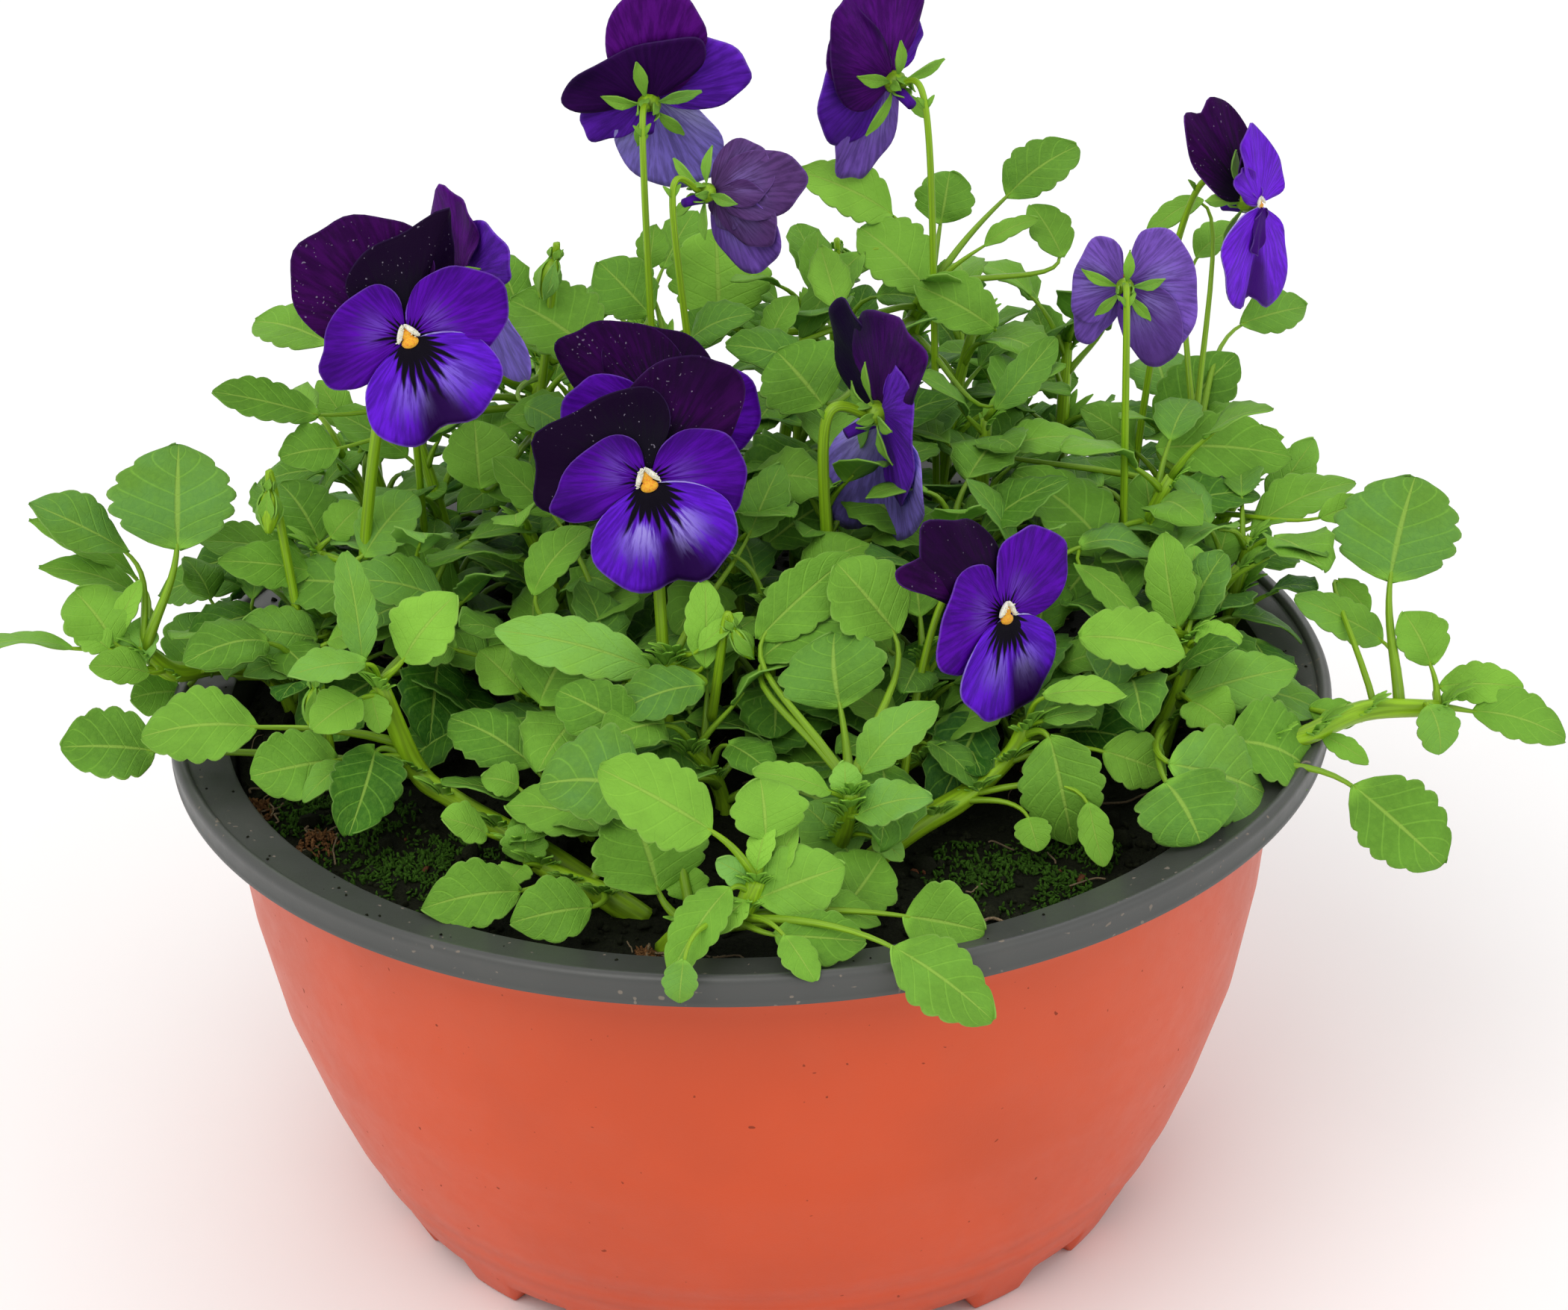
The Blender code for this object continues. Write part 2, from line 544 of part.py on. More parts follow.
# ---------------------------------------------------------------- assembly
def build():
    clear_scene()
    standing = []
    for name, solid, finish_name in (("pot_shell", pot_shell(), "terracotta_plastic"),
                                     ("pot_liner", pot_liner(), "charcoal_plastic"),
                                     ("potting_soil", soil_body(), "potting_soil")):
        add_object(name, solid, finish_name)
        standing.append(tree_of(solid))

    petal_finish = {"upper_petals": "upper_petal", "side_petals": "side_petal",
                    "lip_petal": "lip_petal", "stalk": "stalk_green"}
    for name, *shape in FLOWERS:
        for piece, solid in flower_parts(*shape).items():
            add_object(f"{name}_{piece}", solid, petal_finish[piece])
            standing.append(tree_of(solid))

    stems = {}
    for name, (points, _) in SHOOTS.items():
        path = stem_path(points)
        stems[name] = tree_of(stem_solid(path, GAP))
    for name, (points, leaves) in SHOOTS.items():
        others = [tree for owner, tree in stems.items() if owner != name]
        stem, blades = shoot_parts(name, points, leaves, standing + others)
        add_shoot(name, stem, blades)
        standing += [tree_of(leaf) for leaf in blades]


build()
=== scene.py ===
"""Looks of a potted garden viola: two-colour plastic bowl, damp soil, leafy shoots and eleven violet flowers.

Lengths are in millimetres until a mesh is made. The origin is on the bowl's axis, in the plane of its feet,
+Z is up and -Y is the front.
"""
import math
import random

import bmesh
import bpy
import numpy as np
from bpy.props import FloatProperty, FloatVectorProperty, IntProperty, PointerProperty
from bpy.types import Operator, Panel, PropertyGroup
from mathutils import Matrix, Vector, noise


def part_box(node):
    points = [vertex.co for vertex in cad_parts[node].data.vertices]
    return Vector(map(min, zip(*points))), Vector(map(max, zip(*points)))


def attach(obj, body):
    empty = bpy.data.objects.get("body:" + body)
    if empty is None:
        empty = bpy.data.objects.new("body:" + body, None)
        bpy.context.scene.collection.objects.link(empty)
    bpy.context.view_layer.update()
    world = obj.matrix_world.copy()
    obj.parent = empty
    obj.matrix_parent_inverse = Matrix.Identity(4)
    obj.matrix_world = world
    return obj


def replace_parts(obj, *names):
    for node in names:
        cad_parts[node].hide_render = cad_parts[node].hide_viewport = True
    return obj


bl_info = {
    "name": "Potted Viola",
    "version": (1, 0, 0),
    "blender": (4, 5, 0),
    "location": "View3D > Sidebar > Viola",
    "description": "Builds a bowl of garden violas round its CAD frame",
    "category": "Object",
}

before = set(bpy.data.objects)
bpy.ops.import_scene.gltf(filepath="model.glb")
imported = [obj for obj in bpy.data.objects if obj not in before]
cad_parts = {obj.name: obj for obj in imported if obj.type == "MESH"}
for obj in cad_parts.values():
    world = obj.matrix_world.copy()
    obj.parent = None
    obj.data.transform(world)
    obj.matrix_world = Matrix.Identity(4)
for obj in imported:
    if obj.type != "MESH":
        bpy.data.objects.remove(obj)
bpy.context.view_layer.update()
MM = 0.001
UP = np.array((0.0, 0.0, 1.0))
LEAF_THICKNESS = 0.35
PETAL_THICKNESS = 0.32


def box_mm(node):
    """Lowest and highest corner of a CAD node, in millimetres."""
    low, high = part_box(node)
    return np.array(low) / MM, np.array(high) / MM


RIM_LOW, RIM_HIGH = box_mm("pot_liner")
SOIL_TOP = box_mm("potting_soil")[1][2]
FLOWERS = sorted({name[:9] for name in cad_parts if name.startswith("flower_")})


# ---------------------------------------------------------------- settings
def tint(name, description, default):
    return FloatVectorProperty(name=name, description=description, default=default, size=3, min=0, max=1,
                               subtype="COLOR")


def length(name, description, default):
    """A length, kept in metres as Blender's own are."""
    return FloatProperty(name=name, description=description, default=default * MM, min=0, precision=4,
                         unit="LENGTH")


class BowlSettings(PropertyGroup):
    rim_radius: length("Rim radius", "Outside radius of the rim", (RIM_HIGH[0] - RIM_LOW[0]) / 2)
    rim_top: length("Rim height", "Height of the rim over the feet", RIM_HIGH[2])
    shell: tint("Outside", "Colour of the outer wall", (0.575, 0.058, 0.003))
    rim: tint("Rim", "Colour of the rim and inner skin", (0.058, 0.060, 0.056))


class SoilSettings(PropertyGroup):
    crumbs: IntProperty(name="Crumbs", description="Number of soil crumbs", default=2600, min=0)
    soil: tint("Soil", "Colour of the damp soil", (0.011, 0.013, 0.005))
    moss: tint("Moss", "Colour of the moss", (0.056, 0.152, 0.011))


class LeafSettings(PropertyGroup):
    # the old leaf's deep green is also the painted shade that the low leaves deep in the foliage take
    mature: tint("Mature leaf", "Colour of an old leaf", (0.024, 0.120, 0.006))
    young: tint("Young leaf", "Colour of a young leaf", (0.262, 0.550, 0.056))
    stem: tint("Stem", "Colour of stems and stalks", (0.260, 0.470, 0.010))


class FlowerSettings(PropertyGroup):
    upper: tint("Upper petals", "Colour of the two upper petals", (0.028, 0.0008, 0.052))
    side: tint("Side petals", "Colour of the two side petals", (0.070, 0.002, 0.290))
    lip: tint("Lip", "Colour of the lip petal", (0.095, 0.008, 0.490))
    eye: tint("Eye", "Colour of the spot at the throat", (0.88, 0.44, 0.008))


class StageSettings(PropertyGroup):
    distance: length("Distance", "Camera to the middle of the rim", 800)
    elevation: FloatProperty(name="Elevation", description="Camera height angle", default=math.radians(27.3),
                             subtype="ANGLE", unit="ROTATION")
    roll: FloatProperty(name="Roll", description="Camera roll", default=math.radians(-2.08),
                        subtype="ANGLE", unit="ROTATION")
    floor: tint("Floor", "Colour of the floor", (0.93, 0.93, 0.93))


# ---------------------------------------------------------------- curves and sheets
def blend(low, high, x):
    """Smooth step from 0 at low to 1 at high."""
    t = np.clip((x - low) / (high - low), 0, 1)
    return t * t * (3 - 2 * t)


def unit(vector):
    vector = np.asarray(vector, float)
    return vector / np.linalg.norm(vector)


def turned(vector, axis, degrees):
    """Rodrigues' rotation of a vector about an axis."""
    angle = math.radians(degrees)
    axis = unit(axis)
    cos, sin = math.cos(angle), math.sin(angle)
    return vector * cos + np.cross(axis, vector) * sin + axis * np.dot(axis, vector) * (1 - cos)


def bezier(points, count):
    """Points along a Bezier curve of any degree."""
    out = []
    for t in np.linspace(0, 1, count):
        row = [np.asarray(p, float) for p in points]
        while len(row) > 1:
            row = [a * (1 - t) + b * t for a, b in zip(row, row[1:])]
        out.append(row[0])
    return np.array(out)


def smooth_path(points, steps):
    """A Catmull-Rom curve through the points."""
    points = [np.asarray(p, float) for p in points]
    ends = [2 * points[0] - points[1]] + points + [2 * points[-1] - points[-2]]
    path = []
    for a, b, c, d in zip(ends, ends[1:], ends[2:], ends[3:]):
        for k in range(steps):
            t = k / steps
            path.append(0.5 * (2 * b + (c - a) * t + (2 * a - 5 * b + 4 * c - d) * t * t
                               + (3 * b - 3 * c + d - a) * t ** 3))
    return np.array(path + [points[-1]])


class Skin:
    """Gathers sheets, tubes and lumps, in millimetres, for one mesh.

    Each point also carries a place on its own piece, a tone and its piece's seed, which the materials read.
    """

    def __init__(self):
        self.points, self.places, self.tones, self.seeds = [], [], [], []
        self.faces, self.slots = [], []
        self.count = 0

    def add(self, points, faces, places=None, tone=0.5, slot=0, seed=0.0):
        points = np.asarray(points, float).reshape(-1, 3)
        if places is None:
            places = np.zeros_like(points)
        self.points.append(points)
        self.places.append(np.asarray(places, float).reshape(-1, 3))
        self.tones.append(np.broadcast_to(np.asarray(tone, float).ravel(), (len(points),)))
        self.seeds.append(np.full(len(points), seed))
        self.faces += [tuple(int(i) + self.count for i in face) for face in faces]
        self.slots += slot if isinstance(slot, list) else [slot] * len(faces)
        self.count += len(points)

    def grid(self, points, places=None, tone=0.5, slot=0, wrap=False, caps=False, seed=0.0):
        """Skins rows of points; wrap joins each row's ends, caps closes the first and last rows."""
        rows, columns = points.shape[:2]
        i, j = np.meshgrid(np.arange(rows - 1), np.arange(columns if wrap else columns - 1), indexing="ij")
        k = (j + 1) % columns
        quads = np.stack([i * columns + j, i * columns + k, (i + 1) * columns + k, (i + 1) * columns + j], -1)
        faces = [tuple(quad) for quad in quads.reshape(-1, 4)]
        if caps:
            faces.append(tuple(range(columns - 1, -1, -1)))
            faces.append(tuple(range((rows - 1) * columns, rows * columns)))
        self.add(points, faces, places, tone, slot, seed)

    def sheet(self, points, thick, places, tone=0.5, slot=0, seed=0.0):
        """A closed thin sheet: its face takes the slot, and its back and rim the next one."""
        rows, columns = points.shape[:2]
        normals = np.cross(np.gradient(points, axis=1), np.gradient(points, axis=0))
        back = points - thick * normals / np.maximum(np.linalg.norm(normals, axis=-1, keepdims=True), 1e-9)
        count = rows * columns
        i, j = np.meshgrid(np.arange(rows - 1), np.arange(columns - 1), indexing="ij")
        first = (i * columns + j).ravel()
        front = np.stack([first, first + 1, first + columns + 1, first + columns], -1)
        behind = front[:, ::-1] + count
        loop = ([*range(columns)] + [r * columns + columns - 1 for r in range(1, rows)]
                + [(rows - 1) * columns + c for c in range(columns - 2, -1, -1)]
                + [r * columns for r in range(rows - 2, 0, -1)])
        rim = [(b, a, a + count, b + count) for a, b in zip(loop, loop[1:] + loop[:1])]
        tone = np.tile(np.broadcast_to(np.asarray(tone, float), (rows, columns)).ravel(), 2)
        places = np.tile(places.reshape(-1, 3), (2, 1))
        both = np.vstack([points.reshape(-1, 3), back.reshape(-1, 3)])
        slots = [slot] * len(front) + [slot + 1] * (len(behind) + len(rim))
        self.add(both, [*front, *behind, *rim], places, tone, slots, seed)

    def tube(self, path, radii, sides=10, tone=0.5, slot=0, ridge=0.0, seed=0.0):
        """A round tube along a path; ridge gives it the low ribs of a green stem."""
        path = np.asarray(path, float)
        radii = np.broadcast_to(np.asarray(radii, float), (len(path),))
        angles = np.linspace(0, 2 * math.pi, sides, endpoint=False)
        swell = 1 + ridge * np.cos(angles * 3)
        tangents = np.gradient(path, axis=0)
        side = np.array(Vector(tangents[0]).orthogonal().normalized())
        before = Vector(tangents[0])
        rings = []
        for point, tangent, radius in zip(path, tangents, radii):
            side = np.array(before.rotation_difference(Vector(tangent)) @ Vector(side))
            before = Vector(tangent)
            other = np.cross(unit(tangent), side)
            offset = np.outer(np.cos(angles) * swell, side) + np.outer(np.sin(angles) * swell, other)
            rings.append(point + radius * offset)
        along = np.linspace(0, 1, len(path))
        places = np.zeros((len(path), sides, 3))
        places[..., 0] = angles[None, :] / math.pi - 1
        places[..., 1] = along[:, None]
        self.grid(np.array(rings), places, tone, slot, wrap=True, caps=True, seed=seed)

    def lump(self, template, centre, size, source, rough=0.3, slot=0):
        """A rough pebble: a ball template, squashed, turned and dented."""
        points, faces = template
        spin, tone = any_spin(source), source.random()
        jitter = np.array([1 + source.uniform(-rough, rough) for _ in range(len(points))])
        shaped = points * jitter[:, None] * np.asarray(size)
        self.add(shaped @ spin.T + np.asarray(centre), faces, None, tone, slot)

    def make(self, name, materials):
        """Makes the object, in metres, and lets it ride on the frame's one body."""
        mesh = bpy.data.meshes.new(name)
        points = np.vstack(self.points)
        mesh.from_pydata(points * MM, [], self.faces)
        for material in materials:
            mesh.materials.append(material)
        mesh.polygons.foreach_set("material_index", self.slots)
        place = mesh.attributes.new("place", "FLOAT_VECTOR", "POINT")
        place.data.foreach_set("vector", np.vstack(self.places).astype(np.float32).ravel())
        for key, values in (("tone", self.tones), ("seed", self.seeds)):
            layer = mesh.attributes.new(key, "FLOAT", "POINT")
            layer.data.foreach_set("value", np.concatenate(values).astype(np.float32))
        mesh.shade_smooth()
        item = bpy.data.objects.new(name, mesh)
        bpy.context.scene.collection.objects.link(item)
        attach(item, "root")
        return item


def ball(fineness):
    """Points and triangles of a ball of radius 1: 20 faces, and four times as many at each step."""
    shape = bmesh.new()
    bmesh.ops.create_icosphere(shape, subdivisions=fineness + 1, radius=1.0)
    points = np.array([v.co[:] for v in shape.verts])
    faces = [tuple(v.index for v in face.verts) for face in shape.faces]
    shape.free()
    return points, faces


def polar(away, angle):
    """The x and y of a spot at a distance and angle from the middle."""
    return away * math.cos(angle), away * math.sin(angle)


def any_spin(source):
    """A random rotation matrix."""
    axis = Vector([source.uniform(-1, 1) for _ in range(3)]) + Vector((0, 0, 0.01))
    return np.array(Matrix.Rotation(source.uniform(0, 2 * math.pi), 3, axis.normalized()))


def ripple(x, y, z, scale, seed):
    """Smooth noise, from about -1 to 1."""
    return noise.noise(Vector((x * scale + seed, y * scale - seed, z * scale + 2 * seed)))


# ---------------------------------------------------------------- shader graphs
class Graph:
    """Short ways to add and link nodes in one node tree."""

    def __init__(self, tree):
        self.tree = tree

    def node(self, kind, **settings):
        node = self.tree.nodes.new(kind)
        for key, value in settings.items():
            setattr(node, key, value)
        return node

    def feed(self, socket, value):
        """Links a socket to a value, or sets its default."""
        if isinstance(value, bpy.types.NodeSocket):
            self.tree.links.new(value, socket)
        elif isinstance(value, (tuple, list)) and socket.type == "RGBA":
            socket.default_value = (*value[:3], 1.0)
        else:
            socket.default_value = value

    def math(self, operation, a, b=0.0, c=0.0):
        node = self.node("ShaderNodeMath", operation=operation)
        for socket, value in zip(node.inputs, (a, b, c)):
            self.feed(socket, value)
        return node.outputs[0]

    def plus(self, a, b):
        return self.math("ADD", a, b)

    def minus(self, a, b):
        return self.math("SUBTRACT", a, b)

    def rest(self, share):
        """What a share leaves of 1."""
        return self.minus(1.0, share)

    def times(self, a, b):
        return self.math("MULTIPLY", a, b)

    def scaled(self, value, factor, offset):
        """A value times a factor, plus an offset."""
        return self.math("MULTIPLY_ADD", value, factor, offset)

    def size(self, value):
        """A value without its sign."""
        return self.math("ABSOLUTE", value)

    def step(self, low, high, value):
        """Smooth step from 0 at low to 1 at high."""
        node = self.node("ShaderNodeMapRange", interpolation_type="SMOOTHSTEP")
        self.feed(node.inputs["Value"], value)
        self.feed(node.inputs["From Min"], low)
        self.feed(node.inputs["From Max"], high)
        return node.outputs["Result"]

    def mix(self, share, a, b):
        node = self.node("ShaderNodeMix", data_type="RGBA")
        self.feed(node.inputs["Factor"], share)
        self.feed(node.inputs[6], a)
        self.feed(node.inputs[7], b)
        return node.outputs[2]

    def noise(self, vector, scale, detail=3.0, rough=0.55):
        node = self.node("ShaderNodeTexNoise")
        self.feed(node.inputs["Vector"], vector)
        self.feed(node.inputs["Scale"], scale)
        self.feed(node.inputs["Detail"], detail)
        self.feed(node.inputs["Roughness"], rough)
        return node.outputs["Fac"]

    def vector(self, x, y, z):
        node = self.node("ShaderNodeCombineXYZ")
        for socket, value in zip(node.inputs, (x, y, z)):
            self.feed(socket, value)
        return node.outputs[0]

    def split(self, vector):
        node = self.node("ShaderNodeSeparateXYZ")
        self.feed(node.inputs[0], vector)
        return node.outputs[:3]

    def carried(self, name, output="Fac"):
        """What the mesh carries at each point under a name: place, tone or seed."""
        return self.node("ShaderNodeAttribute", attribute_name=name).outputs[output]

    def spot(self):
        """Where the surface lies on the object, in metres."""
        return self.node("ShaderNodeTexCoord").outputs["Object"]

    def bump(self, height, strength, distance):
        node = self.node("ShaderNodeBump")
        self.feed(node.inputs["Height"], height)
        node.inputs["Strength"].default_value = strength
        node.inputs["Distance"].default_value = distance
        return node.outputs["Normal"]

    def group(self, tree, **values):
        node = self.node("ShaderNodeGroup", node_tree=tree)
        for key, value in values.items():
            self.feed(node.inputs[key.replace("_", " ")], value)
        return node.outputs


NUMBER, ARROW = "NodeSocketFloat", "NodeSocketVector"


def effect(name, outputs, **inputs):
    """Turns a function of a graph and inputs into a shared node group, built on first use.

    Each input has a number to start from, or None where it is a vector. All outputs are numbers.
    """
    def wrap(fill):
        def group():
            tree = bpy.data.node_groups.get(name)
            if tree:
                return tree
            tree = bpy.data.node_groups.new(name, "ShaderNodeTree")
            for key, default in inputs.items():
                kind = ARROW if default is None else NUMBER
                socket = tree.interface.new_socket(key, in_out="INPUT", socket_type=kind)
                if default is not None:
                    socket.default_value = default
            for key in outputs:
                tree.interface.new_socket(key, in_out="OUTPUT", socket_type=NUMBER)
            graph = Graph(tree)
            entry = graph.node("NodeGroupInput").outputs
            end = graph.node("NodeGroupOutput")
            values = fill(graph, *(entry[key] for key in inputs))
            for socket, value in zip(end.inputs, values):
                graph.feed(socket, value)
            return tree
        return group
    return wrap


@effect("Mottle", ("Broad", "Fine"), Spot=None, Scale=60.0)
def mottle_effect(g, spot, scale):
    """Broad and fine mottling over a surface."""
    return g.noise(spot, scale, 2.0), g.noise(spot, g.times(scale, 9.0), 4.0, 0.65)


@effect("Dirt Specks", ("Mask",), Spot=None, Scale=700.0, Amount=0.4)
def speck_effect(g, spot, scale, amount):
    """Sparse specks of dirt, gathered in patches; the amount widens the patches."""
    grain = g.noise(spot, scale, 0.0)
    patch = g.noise(spot, g.times(scale, 0.06), 3.0)
    level = g.minus(0.92, g.times(patch, amount))
    return (g.step(level, g.plus(level, 0.05), grain),)


@effect("Leaf Veins", ("Rib", "Side", "Height"), Place=None, Veins=6.0)
def vein_effect(g, place, veins):
    """A leaf's midrib, its slanting side veins, and the height that they sink."""
    across, along, _ = g.split(place)
    out = g.size(across)
    rib = g.rest(g.step(0.02, g.plus(0.085, g.times(along, -0.05)), out))
    slant = g.minus(along, g.times(out, 0.30))
    wave = g.size(g.math("SINE", g.times(slant, g.times(veins, math.pi))))
    side = g.times(g.rest(g.step(0.0, 0.30, wave)), g.rest(g.step(0.75, 1.0, out)))
    net = g.node("ShaderNodeTexVoronoi", feature="DISTANCE_TO_EDGE")
    g.feed(net.inputs["Vector"], g.vector(g.times(across, 6.0), g.times(along, 14.0), 0.0))
    net.inputs["Scale"].default_value = 1.0
    mesh = g.rest(g.step(0.0, 0.12, net.outputs["Distance"]))
    height = g.rest(g.plus(g.times(side, 0.38), g.times(mesh, 0.12)))
    return rib, side, g.minus(height, g.times(rib, 0.6))


@effect("Petal Streaks", ("Fine", "Coarse"), Place=None, Count=36.0, Length=3.0, Seed=0.0)
def streak_effect(g, place, count, length, seed):
    """Fine streaks that run outwards from a flower's throat."""
    turn, reach, _ = g.split(place)
    fine = g.vector(g.times(turn, count), g.times(reach, length), seed)
    coarse = g.vector(g.times(turn, g.times(count, 0.27)), g.times(reach, 0.8), seed)
    return g.noise(fine, 1.0, 3.0, 0.6), g.noise(coarse, 1.0, 1.0)


@effect("Throat Whiskers", ("Mask",), Place=None, Count=15.0, Root=0.2, Tip=0.4, Seed=0.0)
def whisker_effect(g, place, count, root, tip, seed):
    """A dark spot at the throat that breaks up into tapering whiskers; its root and tip are reaches."""
    turn, reach, _ = g.split(place)
    wander = g.noise(g.vector(g.times(turn, 3.0), g.times(reach, 4.0), seed), 1.0, 1.0)
    phase = g.plus(g.times(turn, count), g.scaled(wander, 0.8, seed))
    across = g.size(g.scaled(g.math("FRACT", phase), 2.0, -1.0))
    luck = g.noise(g.vector(g.times(g.math("FLOOR", phase), 0.71), seed, 0.0), 1.0, 0.0)
    shrink = g.scaled(g.step(0.14, 0.42, g.size(turn)), -0.5, 1.0)
    near = g.times(root, shrink)
    far = g.times(g.times(tip, shrink), g.scaled(luck, 1.5, 0.28))
    way = g.math("DIVIDE", g.minus(reach, near), g.math("MAXIMUM", g.minus(far, near), 0.01))
    return (g.step(-0.30, 0.25, g.minus(g.rest(way), across)),)


class Finish(Graph):
    """The graph of a new material with a Principled shader."""

    def __init__(self, name, **constants):
        self.material = bpy.data.materials.new(name)
        self.material.use_nodes = True
        super().__init__(self.material.node_tree)
        self.shader = self.tree.nodes["Principled BSDF"]
        for key, value in constants.items():
            self.shader.inputs[key.replace("_", " ")].default_value = value

    def dressed(self, colour, roughness, normal):
        """Feeds the shader, and returns the material."""
        for key, value in (("Base Color", colour), ("Roughness", roughness), ("Normal", normal)):
            self.feed(self.shader.inputs[key], value)
        return self.material


def shade(colour, factor):
    """A darker or lighter version of a colour."""
    return tuple(min(1.0, c * factor) for c in colour)


# ---------------------------------------------------------------- finishes
def plastic(name, colour, dirt, dust):
    """Moulded plastic: faint mottling, fine grain, rubbed sheen and specks of soil."""
    g = Finish(name, Specular_IOR_Level=0.5)
    spot = g.spot()
    mottle = g.group(mottle_effect(), Spot=spot, Scale=22.0)
    base = g.mix(g.step(0.3, 0.7, mottle["Broad"]), shade(colour, 0.94), shade(colour, 1.05))
    specks = g.group(speck_effect(), Spot=spot, Scale=700.0, Amount=dirt)
    film = g.times(g.step(0.50, 0.80, g.noise(spot, 45.0, 4.0)), dirt * 0.35)
    base = g.mix(film, base, (0.16, 0.13, 0.10))
    rough = g.plus(g.scaled(mottle["Fine"], 0.22, 0.30), g.times(specks["Mask"], 0.4))
    grain = g.plus(g.times(mottle["Fine"], 0.5), g.noise(spot, 2600.0, 2.0))
    return g.dressed(g.mix(specks["Mask"], base, dust), rough, g.bump(grain, 0.10, 0.0003))


def earth(name, colour, scale, spread=0.6):
    """Damp crumbly matter, with painted shade darkening its hollows; tone shifts its colour."""
    g = Finish(name, Specular_IOR_Level=0.12)
    mottle = g.group(mottle_effect(), Spot=g.spot(), Scale=scale)
    # painted shade: the fine mottle that sinks the bumps also darkens the colour in the hollows
    base = g.mix(g.step(0.3, 0.75, mottle["Fine"]), shade(colour, 1 - spread), shade(colour, 1 + spread))
    base = g.mix(g.carried("tone"), shade(colour, 0.5), base)
    return g.dressed(base, g.scaled(mottle["Broad"], 0.4, 0.55), g.bump(mottle["Fine"], 0.8, 0.0009))


def leaf_finish(name, mature, young, under=False):
    """A leaf blade: tone runs from full-grown to young and carries painted shade on low leaves; veins, rib
    and thin edge are paler.
    """
    g = Finish(name, Specular_IOR_Level=0.12, Sheen_Weight=0.012, Sheen_Roughness=0.5)
    place = g.carried("place", "Vector")
    tone = g.carried("tone")
    across, along, _ = g.split(place)
    mottle = g.group(mottle_effect(), Spot=g.spot(), Scale=90.0)
    veins = g.group(vein_effect(), Place=place, Veins=6.0)
    if under:
        mature = shade(mature, 1.5)
    cool = g.mix(tone, (0.024, 0.105, 0.018), (0.195, 0.440, 0.090))
    base = g.mix(g.step(0.55, 1.1, g.carried("seed")), g.mix(tone, mature, young), cool)
    shadow = g.mix(tone, shade(mature, 0.75), shade(young, 0.78))
    base = g.mix(g.times(g.step(0.35, 0.70, mottle["Broad"]), 0.8), base, shadow)
    base = g.mix(g.times(g.step(0.4, 0.7, mottle["Fine"]), 0.15), base, shade(young, 0.9))
    base = g.mix(g.times(veins["Side"], 0.24), base, shade(young, 1.25))
    base = g.mix(g.times(veins["Rib"], 0.62), base, (0.30, 0.48, 0.07))
    base = g.mix(g.times(g.step(0.94, 1.0, g.size(across)), 0.28), base, (0.32, 0.50, 0.12))
    foot = g.rest(g.step(0.0, 0.16, along))
    base = g.mix(g.times(foot, 0.6), base, shade(young, 1.1))
    relief = g.plus(veins["Height"], g.times(mottle["Fine"], 0.35))
    normal = g.bump(relief, -0.5 if under else 0.5, 0.0007)
    return g.dressed(base, g.scaled(mottle["Fine"], 0.25, 0.42), normal)


def stem_finish(name, colour):
    """A juicy green stem: lengthwise streaks, paler ribs, darker towards its foot."""
    g = Finish(name, Specular_IOR_Level=0.30)
    turn, along, _ = g.split(g.carried("place", "Vector"))
    tone = g.carried("tone")
    streak = g.noise(g.vector(g.times(turn, 9.0), g.times(along, 3.0), tone), 1.0, 3.0)
    base = g.mix(g.step(0.35, 0.65, streak), shade(colour, 0.72), shade(colour, 1.15))
    base = g.mix(tone, g.mix(0.55, base, (0.10, 0.22, 0.03)), base)
    foot = g.rest(g.step(0.0, 0.3, along))
    base = g.mix(g.times(foot, 0.4), base, shade(colour, 0.45))
    mottle = g.group(mottle_effect(), Spot=g.spot(), Scale=150.0)
    ribs = g.plus(streak, g.times(mottle["Fine"], 0.3))
    return g.dressed(base, g.scaled(mottle["Fine"], 0.2, 0.30), g.bump(ribs, 0.3, 0.0004))


class PetalLook:
    """The colours and bands of one kind of petal, from its throat outwards, as shares of REACH_UNIT.

    colour may be the name of a setting, and number sets its streaks apart. whiskers are the root and tip of
    the dark spot, and pale_band is where the pale streaks start and end. gap is the half angle, as a share of
    half a turn, of the strip with no pale streaks down the middle.
    """

    def __init__(self, number, colour, dusk, whiskers=None, count=15.0, pale=0.0, pale_band=(0.20, 0.80),
                 faded=(0.34, 0.27, 0.76), gap=0.06, edge=0.25, spread=0.45, heart=0.0, gloss=0.08, dust=0.0):
        self.number, self.colour, self.dusk, self.whiskers = float(number), colour, dusk, whiskers
        self.pale, self.pale_band, self.faded = pale, pale_band, faded
        self.edge, self.spread, self.gap, self.heart = edge, spread, gap, heart
        self.gloss, self.count, self.dust = gloss, count, dust


